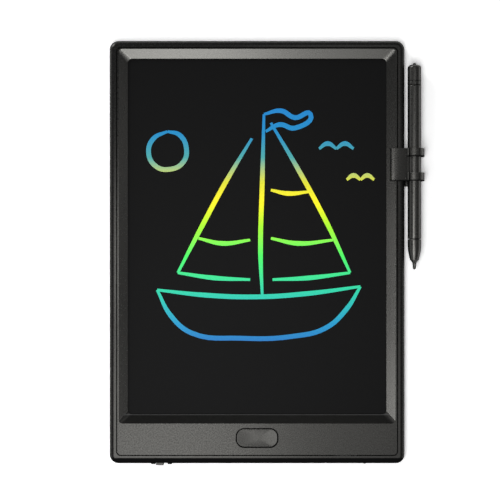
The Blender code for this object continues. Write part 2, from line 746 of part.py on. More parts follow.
def frame_shell():
    """The front frame's ring: skirt, land, bevel, window lip and underside."""
    skirt_bottom = BAND_TOP + SKIRT_LIFT
    skirt_corner = max(FRAME_CORNER - SKIRT_WALL, LEAST_CORNER)
    edge = arc((FRAME_EDGE, TOP - FRAME_EDGE), FRAME_EDGE, math.pi, math.pi / 2, EDGE_STEPS)
    rings = [grown_ring(FRAME_OUTLINE, 0, FRAME_CORNER, skirt_bottom)]
    rings += [grown_ring(FRAME_OUTLINE, -inset, FRAME_CORNER - inset, z) for inset, z in edge]
    rings += [
        grown_ring(BEVEL_OUTLINE, 0, BEVEL_CORNER, TOP),
        grown_ring(WINDOW_OUTLINE, 0, WINDOW_CORNER, LIP_TOP),
        grown_ring(WINDOW_OUTLINE, 0, WINDOW_CORNER, LIP_BOTTOM),
        grown_ring(FRAME_OUTLINE, -SKIRT_WALL, skirt_corner, LIP_BOTTOM),
        grown_ring(FRAME_OUTLINE, -SKIRT_WALL, skirt_corner, skirt_bottom),
    ]
    return loft(rings, closed=True)


def chin_pocket():
    """The cutter that hollows the chin, so that it is a plate of one thickness."""
    reach = FRAME_X - SKIRT_WALL - POCKET_MARGIN
    low_y = SKIRT_INNER_Y + POCKET_MARGIN
    high_y = FILM_BOTTOM_Y - RIBBON_GAP
    return block(-reach, reach, low_y, high_y, LIP_BOTTOM - CUT_OVERRUN, CHIN_UNDER)


def hook_outline():
    """A snap hook's section as (inset, height) pairs: a ramp below and a flat catch on top."""
    catch = TOP - RIM_LIP - HOOK_GAP
    tip = FRAME_INSET - HOOK_REACH
    root = FRAME_INSET + SKIRT_WALL / 2
    return [
        (root, catch), (tip, catch), (tip, catch - HOOK_CATCH),
        (FRAME_INSET, catch - HOOK_CATCH - HOOK_RAMP), (root, catch - HOOK_CATCH - HOOK_RAMP),
    ]


def snap_hooks():
    """The hooks on the skirt: three on each side and two along the top."""
    hooks = []
    spread = SIDE_HOOK_SHARE * FRAME_TOP_Y
    for side in (-1, 1):
        for index in range(SIDE_HOOKS):
            y = between((-spread, spread), index / (SIDE_HOOKS - 1)) - HOOK_LENGTH / 2
            points = [(side * (BODY_WIDTH / 2 - inset), y, height) for inset, height in hook_outline()]
            hooks.append(prism(points, (0, HOOK_LENGTH, 0)))
        x = side * TOP_HOOK_SHARE * FRAME_X - HOOK_LENGTH / 2
        points = [(x, BODY_HEIGHT / 2 - inset, height) for inset, height in hook_outline()]
        hooks.append(prism(points, (HOOK_LENGTH, 0, 0)))
    return hooks


def front_frame(finish):
    """The front frame: shell, hollow chin, screw bosses and hooks, with the button's opening."""
    bm = without(frame_shell(), [chin_pocket()])
    bosses = [
        rod(x, CASE_SCREW_Y, FRAME_BOSS_RADIUS, FRAME_BOSS_BOTTOM, CHIN_UNDER + CHIN_WALL / 2)
        for x in CASE_SCREW_PLACES.values()
    ]
    bm = united(bm, bosses + snap_hooks())
    shank = CASE_SHANK_RADIUS + SCREW_CLEARANCE
    cuts = [
        rod(x, CASE_SCREW_Y, shank, FRAME_BOSS_BOTTOM - CUT_OVERRUN, CHIN_UNDER, SCREW_STEPS)
        for x in CASE_SCREW_PLACES.values()
    ]
    opening = (-BUTTON_WIDTH / 2, BUTTON_WIDTH / 2, BUTTON_Y - BUTTON_DEPTH / 2, BUTTON_Y + BUTTON_DEPTH / 2)
    cuts.append(plate(opening, 0, BUTTON_CORNER, CHIN_UNDER - CUT_OVERRUN, TOP + CUT_OVERRUN))
    cuts += [lock_slot(), tray_mouth(BAND_TOP)]
    place("front_frame", without(bm, cuts), finish)


def screen_stack(board, film, glass, rubber):
    """The backing board, the two films and the gasket, one on another."""
    layers = (
        ("backing_board", board, BACKING_BOTTOM, BACKING_TOP),
        ("base_film", film, BASE_FILM_BOTTOM, BASE_FILM_TOP),
        ("writing_film", glass, WRITING_FILM_BOTTOM, WRITING_FILM_TOP),
    )
    for name, finish, low, high in layers:
        place(name, plate(WINDOW_OUTLINE, FILM_OVERLAP, FILM_CORNER, low, high), finish)
    outer = FILM_OVERLAP - GASKET_MARGIN
    rings = [
        grown_ring(WINDOW_OUTLINE, outer, FILM_CORNER, GASKET_BOTTOM),
        grown_ring(WINDOW_OUTLINE, outer, FILM_CORNER, GASKET_TOP),
        grown_ring(WINDOW_OUTLINE, GASKET_MARGIN, WINDOW_CORNER, GASKET_TOP),
        grown_ring(WINDOW_OUTLINE, GASKET_MARGIN, WINDOW_CORNER, GASKET_BOTTOM),
    ]
    place("film_gasket", loft(rings, closed=True), rubber)


def cross_recess(x, y, face, head_up):
    """The cutters of a cross recess in a screw head whose face is at a height."""
    inward = -CROSS_DEPTH if head_up else CROSS_DEPTH
    outward = CUT_OVERRUN if head_up else -CUT_OVERRUN
    low, high = sorted((face + inward, face + outward))
    half = CROSS_WIDTH / 2
    return [
        block(x - CROSS_REACH, x + CROSS_REACH, y - half, y + half, low, high),
        block(x - half, x + half, y - CROSS_REACH, y + CROSS_REACH, low, high),
    ]


def screw(head_radius, head_height, shank_radius, low, high, x, y, head_up):
    """A cross-head screw along Z, with its head at its low or its high end."""
    heights = [high, high - head_height] if head_up else [low, low + head_height]
    end = low if head_up else high
    towards_head = 1 if head_up else -1
    profile = [
        (0, heights[0]),
        (head_radius - SCREW_EDGE, heights[0]),
        (head_radius, heights[0] - towards_head * SCREW_EDGE),
        (head_radius, heights[1]),
        (shank_radius, heights[1]),
        (shank_radius, end + towards_head * SCREW_EDGE),
        (shank_radius - SCREW_EDGE, end),
        (0, end),
    ]
    return without(turned(profile, x, y, SCREW_STEPS), cross_recess(x, y, heights[0], head_up))


def screws(steel):
    """The case screws from the back, and the two that hold the control board."""
    for name, x in CASE_SCREW_PLACES.items():
        bm = screw(
            CASE_HEAD_RADIUS, CASE_HEAD_HEIGHT, CASE_SHANK_RADIUS,
            RECESS_FLOOR - SEAT_GAP - CASE_HEAD_HEIGHT, CASE_SCREW_TOP, x, CASE_SCREW_Y, head_up=False,
        )
        place(name, bm, steel)
    head_low = BOARD_TOP + SEAT_GAP
    for name, x in BOARD_SCREW_PLACES.items():
        bm = screw(
            BOARD_SCREW_HEAD_RADIUS, BOARD_SCREW_HEAD_HEIGHT, BOARD_SCREW_SHANK_RADIUS,
            head_low - BOARD_SCREW_DEPTH, head_low + BOARD_SCREW_HEAD_HEIGHT, x, BOARD_SCREW_Y,
            head_up=True,
        )
        place(name, bm, steel)


def control_board(finish):
    """The control board, with its two screw holes."""
    outline = (BOARD_LEFT, BOARD_RIGHT, BOARD_LOW_Y, BOARD_HIGH_Y)
    hole = BOARD_SCREW_SHANK_RADIUS + SCREW_CLEARANCE
    cuts = [
        rod(x, BOARD_SCREW_Y, hole, BOARD_BOTTOM - CUT_OVERRUN, BOARD_TOP + CUT_OVERRUN, SCREW_STEPS)
        for x in BOARD_SCREW_PLACES.values()
    ]
    bm = without(plate(outline, 0, BOARD_CORNER, BOARD_BOTTOM, BOARD_TOP), cuts)
    place("control_board", bm, finish)


def board_parts(black, copper, ceramic, cream):
    """What is soldered to the board: driver chip, coil, capacitor and the film's connector."""
    chip_x = between(LEFT_STRETCH, CHIP_SHARE)
    chip = chip_block(chip_x, LOWER_ROW_Y, CHIP_WIDTH, CHIP_DEPTH, CHIP_HEIGHT, PART_EDGE)
    place("driver_chip", chip, black)
    top = SOLDER_LEVEL + COIL_HEIGHT
    drum = [
        (0, SOLDER_LEVEL), (COIL_RADIUS, SOLDER_LEVEL), (COIL_RADIUS, SOLDER_LEVEL + COIL_FLANGE),
        (COIL_WAIST, SOLDER_LEVEL + COIL_FLANGE), (COIL_WAIST, top - COIL_FLANGE),
        (COIL_RADIUS, top - COIL_FLANGE), (COIL_RADIUS, top), (0, top),
    ]
    coil_x = between(LEFT_STRETCH, COIL_SHARE)
    place("boost_coil", turned(drum, coil_x, LOWER_ROW_Y, SCREW_STEPS), copper)
    capacitor_x = between(RIGHT_STRETCH, CAPACITOR_SHARE)
    capacitor = chip_block(
        capacitor_x, LOWER_ROW_Y, CAPACITOR_WIDTH, CAPACITOR_DEPTH, CAPACITOR_HEIGHT, PART_EDGE
    )
    place("capacitor", capacitor, ceramic)
    connector_y = CONNECTOR_HIGH_Y - CONNECTOR_DEPTH / 2
    connector = chip_block(
        CONNECTOR_X, connector_y, CONNECTOR_WIDTH, CONNECTOR_DEPTH, CONNECTOR_HEIGHT, PART_EDGE
    )
    place("ribbon_connector", connector, cream)


def strip(middle_line, thickness):
    """The outline of a bent strip of one thickness about its middle line, as pairs."""
    upper, lower = [], []
    last = len(middle_line) - 1
    for index, point in enumerate(middle_line):
        before = Vector(middle_line[max(index - 1, 0)])
        after = Vector(middle_line[min(index + 1, last)])
        here = Vector(point)
        sides = [piece.normalized() for piece in (here - before, after - here) if piece.length]
        along = sum(sides, Vector((0, 0))).normalized()
        reach = thickness / 2 / max(along.dot(sides[0]), HALF)
        across = Vector((-along.y, along.x)) * reach
        upper.append(here + across)
        lower.append(here - across)
    return upper + lower[::-1]


def film_ribbon(finish):
    """The flexible ribbon from the films' lower edge to the connector on the board."""
    start_y = FILM_BOTTOM_Y - RIBBON_GAP
    end_y = CONNECTOR_HIGH_Y + RIBBON_GAP
    start_z = (BASE_FILM_BOTTOM + WRITING_FILM_TOP) / 2
    end_z = SOLDER_LEVEL + CONNECTOR_HEIGHT / 2
    line = []
    for step in range(ROUND_STEPS + 1):
        share = step / ROUND_STEPS
        ease = (1 - math.cos(math.pi * share)) / 2
        line.append((between((start_y, end_y), share), between((start_z, end_z), ease)))
    x = CONNECTOR_X - RIBBON_WIDTH / 2
    points = [(x, y, z) for y, z in strip(line, RIBBON_THICKNESS)]
    place("film_ribbon", prism(points, (RIBBON_WIDTH, 0, 0)), finish)


def button_ring(inset, z):
    """A ring of the erase button's outline, drawn in by inset."""
    half_width = BUTTON_WIDTH / 2 - BUTTON_GAP - inset
    half_depth = BUTTON_DEPTH / 2 - BUTTON_GAP - inset
    radius = BUTTON_CORNER - BUTTON_GAP - inset
    return rounded_ring(
        -half_width, half_width, BUTTON_Y - half_depth, BUTTON_Y + half_depth, radius, z
    )


def dish_ring(share):
    """A ring of the button's dish: its brim drawn in to a share of its size, and deeper to the middle."""
    middle = Vector((0, BUTTON_Y, BUTTON_TOP))
    depth = BUTTON_DISH * (1 - share ** 2)
    brim = button_ring(BUTTON_EDGE, BUTTON_TOP)
    return [middle.lerp(point, share) - Vector((0, 0, depth)) for point in brim]


def erase_button(finish, parent):
    """The erase button: dished on top, hollow below, with a flange that holds it in."""
    rings = [dish_ring(step / DISH_STEPS) for step in range(1, DISH_STEPS)]
    edge = arc((BUTTON_EDGE, BUTTON_TOP - BUTTON_EDGE), BUTTON_EDGE, math.pi / 2, math.pi, EDGE_STEPS + 1)
    rings += [button_ring(inset, height) for inset, height in edge]
    rings += [
        button_ring(0, FLANGE_TOP),
        button_ring(-FLANGE_REACH, FLANGE_TOP),
        button_ring(-FLANGE_REACH, FLANGE_BOTTOM),
        button_ring(BUTTON_WALL, FLANGE_BOTTOM),
        button_ring(BUTTON_WALL, POCKET_ROOF),
    ]
    place("erase_button", loft(rings), finish, parent.location, parent)


def tact_switch(black, white, parent):
    """The tact switch on the board, and the plunger between it and the button."""
    body = chip_block(0, BUTTON_Y, TACT_WIDTH, TACT_DEPTH, TACT_HEIGHT, PART_EDGE)
    bore = PLUNGER_RADIUS + PLUNGER_CLEARANCE
    top = SOLDER_LEVEL + TACT_HEIGHT + CUT_OVERRUN
    hole = rod(0, BUTTON_Y, bore, TACT_BORE_FLOOR, top, SCREW_STEPS)
    place("tact_switch", without(body, [hole]), black)
    profile = [
        (0, PLUNGER_BOTTOM), (PLUNGER_RADIUS - PLUNGER_EDGE, PLUNGER_BOTTOM),
        (PLUNGER_RADIUS, PLUNGER_BOTTOM + PLUNGER_EDGE), (PLUNGER_RADIUS, PLUNGER_TOP - PLUNGER_EDGE),
        (PLUNGER_RADIUS - PLUNGER_EDGE, PLUNGER_TOP), (0, PLUNGER_TOP),
    ]
    plunger = turned(profile, 0, BUTTON_Y, SCREW_STEPS)
    place("switch_plunger", plunger, white, parent.location, parent)


def slide_switch(steel):
    """The slide switch on the board, with a slot in its front for the lever."""
    front = BOARD_LOW_Y
    body = block(
        LOCK_SLOT_X - SWITCH_WIDTH / 2, LOCK_SLOT_X + SWITCH_WIDTH / 2, front, front + SWITCH_DEPTH,
        SOLDER_LEVEL, SOLDER_LEVEL + SWITCH_HEIGHT,
    )
    half_slot = (LEVER_WIDTH + LOCK_TRAVEL) / 2 + LEVER_CLEARANCE
    half_height = LEVER_HEIGHT / 2 + LEVER_CLEARANCE
    slot = block(
        LOCK_SLOT_X - half_slot, LOCK_SLOT_X + half_slot,
        front - CUT_OVERRUN, front + SWITCH_SLOT_DEPTH,
        LOCK_LEVEL - half_height, LOCK_LEVEL + half_height,
    )
    place("slide_switch", without(body, [slot]), steel)


def switch_lever(finish, parent):
    """The slide switch's lever, which reaches out of its slot into the knob's fork."""
    lever = block(
        KNOB_X - LEVER_WIDTH / 2, KNOB_X + LEVER_WIDTH / 2,
        BOARD_LOW_Y - LEVER_REACH, BOARD_LOW_Y + SWITCH_SLOT_DEPTH - LEVER_CLEARANCE,
        LOCK_LEVEL - LEVER_HEIGHT / 2, LOCK_LEVEL + LEVER_HEIGHT / 2,
    )
    place("switch_lever", lever, finish, parent.location, parent)


def lock_knob(finish, parent):
    """The lock knob: grip outside, stem through the slot, wings behind the rim, fork inside."""
    outer = -BODY_HEIGHT / 2 - KNOB_PROUD
    low = LOCK_LEVEL - KNOB_HEIGHT / 2
    high = LOCK_LEVEL + KNOB_HEIGHT / 2
    body = block(
        KNOB_X - KNOB_WIDTH / 2, KNOB_X + KNOB_WIDTH / 2, outer, KNOB_INNER_Y, low, high, KNOB_EDGE
    )
    half_wings = KNOB_WIDTH / 2 + KNOB_WING
    wings = block(
        KNOB_X - half_wings, KNOB_X + half_wings,
        -BODY_HEIGHT / 2 + RIM_WALL + KNOB_WING_GAP, FRAME_BOTTOM_Y - KNOB_WING_GAP,
        low + KNOB_EDGE, TOP - RIM_LIP - KNOB_WING_GAP,
    )
    grooves = []
    for index in range(KNOB_GROOVES):
        x = between((KNOB_X - KNOB_WIDTH / 2, KNOB_X + KNOB_WIDTH / 2), (index + 1) / (KNOB_GROOVES + 1))
        grooves.append(
            block(
                x - KNOB_GROOVE_WIDTH / 2, x + KNOB_GROOVE_WIDTH / 2,
                outer - CUT_OVERRUN, outer + KNOB_GROOVE_DEPTH, low - CUT_OVERRUN, high + CUT_OVERRUN,
            )
        )
    half_fork = LEVER_WIDTH / 2 + LEVER_CLEARANCE
    half_height = LEVER_HEIGHT / 2 + LEVER_CLEARANCE
    fork = block(
        KNOB_X - half_fork, KNOB_X + half_fork,
        KNOB_INNER_Y - FORK_WALL, KNOB_INNER_Y + CUT_OVERRUN,
        LOCK_LEVEL - half_height, LOCK_LEVEL + half_height,
    )
    bm = without(united(body, [wings]), grooves + [fork])
    place("lock_knob", bm, finish, parent.location, parent)


def tray_section():
    """The battery tray's side view as (y, z) pairs; its lip follows the rim's round side."""
    outer = -BODY_HEIGHT / 2
    centre = (outer + RIM_ROUND, TOP - RIM_ROUND)
    rise = min(TRAY_TOP - centre[1], RIM_ROUND)
    points = [(outer, TRAY_BOTTOM)]
    if rise > 0:
        points += arc(centre, RIM_ROUND, math.pi, math.pi - math.asin(rise / RIM_ROUND), 3)
    else:
        points.append((outer, TRAY_TOP))
    return points + [(TRAY_INNER_END, TRAY_TOP), (TRAY_INNER_END, TRAY_BOTTOM)]


def battery_tray(finish, parent):
    """The battery tray: a round well for the coin, a nail ridge and notch on its lip."""
    outline = [(TRAY_LEFT, y, z) for y, z in tray_section()]
    outer = -BODY_HEIGHT / 2
    ridge_right = TRAY_RIGHT - NAIL_RIDGE_MARGIN
    ridge = block(
        ridge_right - NAIL_RIDGE_WIDTH, ridge_right, outer - NAIL_RIDGE_PROUD, outer + TRAY_LIP / 2,
        TRAY_BOTTOM + NAIL_RIDGE_MARGIN, TOP - RIM_ROUND, NAIL_RIDGE_PROUD / 2,
    )
    bm = united(prism(outline, (TRAY_WIDTH, 0, 0)), [ridge])
    notch = block(
        TRAY_LEFT - CUT_OVERRUN, TRAY_LEFT + TRAY_NOTCH, outer - CUT_OVERRUN, outer + TRAY_NOTCH,
        TRAY_BOTTOM - CUT_OVERRUN, TRAY_TOP + CUT_OVERRUN,
    )
    well_floor = TRAY_BOTTOM + TRAY_FLOOR
    well = rod(
        TRAY_X, COIN_Y, COIN_DIAMETER / 2 + COIN_CLEARANCE, well_floor, TRAY_TOP + CUT_OVERRUN,
        COIN_STEPS,
    )
    slot = block(
        TRAY_X - TRAY_SLOT_HALF_WIDTH, TRAY_X + TRAY_SLOT_HALF_WIDTH,
        MINUS_LEAF_Y - MINUS_LEAF_WIDTH / 2 - TRAY_CLEARANCE, TRAY_INNER_END + CUT_OVERRUN,
        TRAY_BOTTOM - CUT_OVERRUN, well_floor + LAYER_GAP,
    )
    place("battery_tray", without(bm, [notch, well, slot]), finish, parent.location, parent)


def coin_cell(finish, parent):
    """The coin cell, smaller at its lower pole."""
    radius = COIN_DIAMETER / 2
    cap = radius - COIN_CAP_INSET
    profile = [
        (0, COIN_BOTTOM), (cap, COIN_BOTTOM), (cap, COIN_BOTTOM + COIN_CAP_HEIGHT),
        (radius - COIN_EDGE, COIN_BOTTOM + COIN_CAP_HEIGHT),
        (radius, COIN_BOTTOM + COIN_CAP_HEIGHT + COIN_EDGE), (radius, TRAY_TOP - COIN_EDGE),
        (radius - COIN_EDGE, TRAY_TOP), (0, TRAY_TOP),
    ]
    place("coin_cell", turned(profile, TRAY_X, COIN_Y, COIN_STEPS), finish, parent.location, parent)


def contact_leaf(name, line, y, width, finish):
    """A leaf contact: a bent strip seen from the side as (x, z) pairs, of a width along Y."""
    points = [(x, y - width / 2, z) for x, z in strip(line, LEAF_THICKNESS)]
    place(name, prism(points, (0, width, 0)), finish)


def contacts(finish):
    """The leaf over the coin, and the leaf below it that reaches up through the tray's slot."""
    pad_start = between(RIGHT_STRETCH, 1 - LEAF_PAD_SHARE)
    pad_z = SOLDER_LEVEL + LEAF_THICKNESS / 2
    over = TRAY_TOP + LEAF_GAP + LEAF_THICKNESS / 2
    plus = [
        (pad_start, pad_z), (BOARD_RIGHT, pad_z), (BOARD_RIGHT + LEAF_RISE, over),
        (TRAY_X + PLUS_LEAF_REACH, over),
    ]
    contact_leaf("positive_contact", plus, PLUS_LEAF_Y, PLUS_LEAF_WIDTH, finish)
    under = BOARD_BOTTOM - LAYER_GAP - LEAF_THICKNESS / 2
    low = BACK_WALL + SEAT_GAP + LEAF_THICKNESS / 2
    crown = COIN_BOTTOM - LEAF_GAP - LEAF_THICKNESS
    minus = [
        (BOARD_RIGHT - MINUS_LEAF_PAD, under), (BOARD_RIGHT, under), (BOARD_RIGHT + LEAF_RISE, low),
        (TRAY_X - BUMP_HALF_WIDTH - BUMP_FOOT, low), (TRAY_X - BUMP_HALF_WIDTH, crown),
        (TRAY_X + BUMP_HALF_WIDTH, crown), (TRAY_X + BUMP_HALF_WIDTH + BUMP_FOOT, low),
    ]
    contact_leaf("negative_contact", minus, MINUS_LEAF_Y, MINUS_LEAF_WIDTH, finish)


def rim_shoulder():
    """The middle of the rim's top round on the right side, as (x, z)."""
    return (BODY_WIDTH / 2 - RIM_ROUND, TOP - RIM_ROUND)


def rim_foot():
    """The middle of the rim's foot round on the right side, as (x, z)."""
    return (BODY_WIDTH / 2 - RIM_FOOT_ROUND, BAND_LIFT + RIM_FOOT_ROUND)


def clip_section():
    """The clip's outer side as (x, z) pairs: front jaw, saddle, foot and rear jaw, filled between them."""
    outer_foot = RIM_FOOT_ROUND + CLIP_GAP + REAR_JAW_WALL
    foot_x = SADDLE_X - outer_foot
    foot_z = rim_foot()[1]
    tip_round = CLIP_WALL / 2
    tip_centre = (CLIP_TIP + tip_round, TOP + CLIP_GAP + CLIP_WALL - tip_round)
    points = arc(tip_centre, tip_round, math.pi, math.pi / 2, 3)
    slope_radius = (SADDLE_SLOPE ** 2 + SADDLE_DROP ** 2) / (2 * SADDLE_DROP)
    slope_centre = (SADDLE_X - SADDLE_SLOPE, TOP + CLIP_GAP + CLIP_WALL - slope_radius)
    slope_end = math.pi / 2 - math.asin(SADDLE_SLOPE / slope_radius)
    points += arc(slope_centre, slope_radius, math.pi / 2, slope_end, ARC_STEPS)
    points += arc((foot_x, foot_z), outer_foot, 0, -math.pi / 2, ARC_STEPS)
    return points + [(CLIP_REAR_TIP, CLIP_BOTTOM), (CLIP_REAR_TIP, foot_z), (CLIP_TIP, foot_z)]


def clip_lining():
    """The room the clip leaves for the rim as (x, z) pairs, with the bead of the front jaw left standing."""
    bead = (CLIP_TIP + BEAD_WIDTH / 2, TOP + CLIP_GAP - BEAD_DEPTH + BEAD_WIDTH / 2)
    outside = CLIP_TIP - CUT_OVERRUN
    points = [(outside, CLIP_BOTTOM + REAR_JAW_WALL), (outside, bead[1])]
    points += arc(bead, BEAD_WIDTH / 2, -math.pi, 0, ARC_STEPS)
    points += [(CLIP_TIP + BEAD_WIDTH, TOP + CLIP_GAP)]
    points += arc(rim_shoulder(), RIM_ROUND + CLIP_GAP, math.pi / 2, 0, ARC_STEPS + 2)
    points += arc(rim_foot(), RIM_FOOT_ROUND + CLIP_GAP, 0, -math.pi / 2, ARC_STEPS)
    return points


def along_rim(pairs, start_y, length):
    """A solid swept along Y from a section of (x, z) pairs."""
    return prism([(x, start_y, z) for x, z in pairs], (0, length, 0))


def pen_circle(radius):
    """A circle round the stylus as (x, z) pairs."""
    return arc((PEN_X, PEN_Z), radius, 0, 2 * math.pi, RING_STEPS)[1:]


def ring_slit():
    """The slit through the rings, from the stylus outwards, as (x, z) pairs."""
    outward = Vector((math.cos(RING_SLIT_ANGLE), math.sin(RING_SLIT_ANGLE)))
    across = Vector((-outward.y, outward.x)) * RING_SLIT / 2
    middle = Vector((PEN_X, PEN_Z))
    far = middle + outward * (RING_OUTER_RADIUS + CUT_OVERRUN)
    return [tuple(point) for point in (middle + across, middle - across, far - across, far + across)]


def pen_clip(finish, parent):
    """The clip: its section swept along the rim, the front jaw cut shorter, and two rings."""
    low_y = CLIP_TOP - CLIP_LENGTH
    start_y = low_y - CLIP_TAIL
    ring_starts = (low_y + RING_END_INSET, CLIP_TOP - RING_HEIGHT - RING_END_INSET)
    rings = [along_rim(pen_circle(RING_OUTER_RADIUS), y, RING_HEIGHT) for y in ring_starts]
    bm = united(along_rim(clip_section(), start_y, CLIP_TOP - start_y), rings)
    over_tail = block(
        CLIP_TIP - CUT_OVERRUN, PEN_X,
        start_y - CUT_OVERRUN, low_y, TOP - RIM_ROUND, TOP + CLIP_GAP + CLIP_WALL + CUT_OVERRUN,
    )
    reach = CLIP_TOP - start_y + 2 * CUT_OVERRUN
    cuts = [
        along_rim(section, start_y - CUT_OVERRUN, reach)
        for section in (clip_lining(), pen_circle(RING_INNER_RADIUS), ring_slit())
    ]
    bm = without(bm, cuts + [over_tail])
    place("pen_clip", bm, finish, parent.matrix_world.translation, parent)


def nib_profile():
    """The nib: a round tip, a taper and a shank inside the tip piece."""
    round_tip = arc((0, NIB_TIP_RADIUS), NIB_TIP_RADIUS, -math.pi / 2, 0, ARC_STEPS)
    shank_top = NIB_LENGTH + NIB_SHANK_LENGTH
    return [(0, 0)] + round_tip[1:] + [
        (NIB_ROOT_RADIUS, NIB_LENGTH), (NIB_SHANK_RADIUS, NIB_LENGTH), (NIB_SHANK_RADIUS, shank_top),
        (0, shank_top),
    ]


def tip_profile():
    """The tip piece: a small nose, a long curve up to the barrel's width, and a spigot."""
    mouth = NIB_LENGTH + PEN_SEAM
    nose_top = mouth + TIP_NOSE_LENGTH
    straight = TIP_TOP - TIP_STRAIGHT
    bore = NIB_SHANK_RADIUS + SPIGOT_CLEARANCE
    bore_top = NIB_LENGTH + NIB_SHANK_LENGTH + PEN_SEAM
    profile = [(0, bore_top), (bore, bore_top), (bore, mouth), (TIP_MOUTH_RADIUS, mouth)]
    for step in range(1, ARC_STEPS):
        angle = step / ARC_STEPS * math.pi / 2
        radius = TIP_NOSE_RADIUS - (TIP_NOSE_RADIUS - TIP_MOUTH_RADIUS) * math.cos(angle)
        profile.append((radius, mouth + TIP_NOSE_LENGTH * math.sin(angle) ** 2))
    for step in range(ROUND_STEPS + 1):
        share = step / ROUND_STEPS
        radius = TIP_NOSE_RADIUS + (PEN_RADIUS - TIP_NOSE_RADIUS) * math.sin(share * math.pi / 2)
        profile.append((radius, between((nose_top, straight), share)))
    spigot_top = TIP_TOP + SPIGOT_LENGTH
    return profile + [
        (PEN_RADIUS, TIP_TOP - PEN_SEAM_EDGE), (PEN_RADIUS - PEN_SEAM_EDGE, TIP_TOP),
        (SPIGOT_RADIUS, TIP_TOP), (SPIGOT_RADIUS, spigot_top), (0, spigot_top),
    ]


def barrel_profile():
    """The barrel: a tube with its outer edges bevelled, so that the seams show."""
    low = TIP_TOP + PEN_SEAM
    high = CAP_BOTTOM - PEN_SEAM
    inner = PEN_RADIUS - PEN_WALL
    return [
        (inner, low), (PEN_RADIUS - PEN_SEAM_EDGE, low), (PEN_RADIUS, low + PEN_SEAM_EDGE),
        (PEN_RADIUS, high - PEN_SEAM_EDGE), (PEN_RADIUS - PEN_SEAM_EDGE, high), (inner, high),
    ]


def cap_profile():
    """The end cap: a spigot, a collar, a groove, the cap's body, its dome and its nub."""
    groove = CAP_BOTTOM + CAP_COLLAR
    dome = groove + CAP_BODY
    nub = dome + CAP_DOME
    edge = PEN_RADIUS - PEN_SEAM_EDGE
    profile = [
        (0, CAP_BOTTOM - SPIGOT_LENGTH), (SPIGOT_RADIUS, CAP_BOTTOM - SPIGOT_LENGTH),
        (SPIGOT_RADIUS, CAP_BOTTOM), (edge, CAP_BOTTOM), (PEN_RADIUS, CAP_BOTTOM + PEN_SEAM_EDGE),
        (PEN_RADIUS, groove - PEN_SEAM_EDGE), (edge, groove), (PEN_RADIUS, groove + PEN_SEAM_EDGE),
    ]
    for step in range(ROUND_STEPS + 1):
        angle = step / ROUND_STEPS * math.pi / 2
        radius = CAP_NUB_RADIUS + (PEN_RADIUS - CAP_NUB_RADIUS) * math.cos(angle)
        profile.append((radius, dome + CAP_DOME * math.sin(angle)))
    shoulder = PEN_LENGTH - CAP_NUB_TOP_RADIUS / 2
    return profile + [
        (CAP_NUB_TOP_RADIUS, shoulder),
        (CAP_NUB_TOP_RADIUS * math.sqrt(HALF), (shoulder + PEN_LENGTH) / 2),
        (0, PEN_LENGTH),
    ]


def stylus(finish, felt, parent):
    """The four pieces of the stylus, turned about its axis."""
    place("stylus_nib", turned(nib_profile(), steps=SCREW_STEPS), felt, parent=parent)
    place("stylus_tip", turned(tip_profile()), finish, parent=parent)
    place("stylus_barrel", turned(barrel_profile(), tube=True), finish, parent=parent)
    place("stylus_cap", turned(cap_profile()), finish, parent=parent)


def build():
    """Make every material and piece."""
    clear_scene()
    shell = material("shell_plastic", (0.050, 0.050, 0.051), 0.42)
    face = material("frame_plastic", (0.072, 0.072, 0.073), 0.48)
    key = material("button_plastic", (0.060, 0.060, 0.061), 0.38)
    screen = material("screen_film", (0.012, 0.012, 0.013), 0.30)
    film = material("clear_film", (0.030, 0.030, 0.034), 0.35)
    board = material("grey_board", (0.180, 0.180, 0.175), 0.70)
    rubber = material("black_foam", (0.020, 0.020, 0.020), 0.85)
    circuit = material("green_laminate", (0.020, 0.120, 0.050), 0.45)
    black = material("black_epoxy", (0.025, 0.025, 0.027), 0.50)
    cream = material("cream_plastic", (0.650, 0.600, 0.480), 0.50)
    copper = material("copper_wire", (0.550, 0.230, 0.110), 0.40, 1)
    steel = material("plated_steel", (0.620, 0.610, 0.590), 0.32, 1)
    amber = material("amber_ribbon", (0.420, 0.170, 0.030), 0.40)
    felt = material("nib_plastic", (0.022, 0.022, 0.023), 0.55)

    bottom_y = -BODY_HEIGHT / 2
    button_axis = axis_empty("button_axis", (0, BUTTON_Y, BUTTON_TOP))
    lock_axis = axis_empty("lock_axis", (KNOB_X, bottom_y, LOCK_LEVEL))
    tray_axis = axis_empty("tray_axis", (TRAY_X, bottom_y, TRAY_BOTTOM))
    clip_axis = axis_empty("clip_axis", (PEN_X, CLIP_TOP, PEN_Z))
    stylus_axis = axis_empty("stylus_axis", (0, PEN_TIP_Y - CLIP_TOP, 0), clip_axis)
    stylus_axis.rotation_euler = (-math.pi / 2, 0, 0)
    bpy.context.view_layer.update()

    rear_cover(shell)
    front_frame(face)
    screen_stack(board, film, screen, rubber)
    screws(steel)
    control_board(circuit)
    board_parts(black, copper, cream, cream)
    film_ribbon(amber)
    erase_button(key, button_axis)
    tact_switch(black, cream, button_axis)
    slide_switch(steel)
    switch_lever(cream, lock_axis)
    lock_knob(shell, lock_axis)
    battery_tray(shell, tray_axis)
    coin_cell(steel, tray_axis)
    contacts(steel)
    pen_clip(shell, clip_axis)
    stylus(shell, felt, stylus_axis)


build()
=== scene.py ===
# %% [markdown]
# This lesson dresses the solids of a writing tablet for a photograph. The CAD model already has every
# part in its place. Here each part gets the rounds, the grain and the gloss of the real one, and then
# a camera and soft lamps stand above it. All lengths are in metres.

import json
import math

import bmesh
import bpy
from mathutils import Matrix, Vector


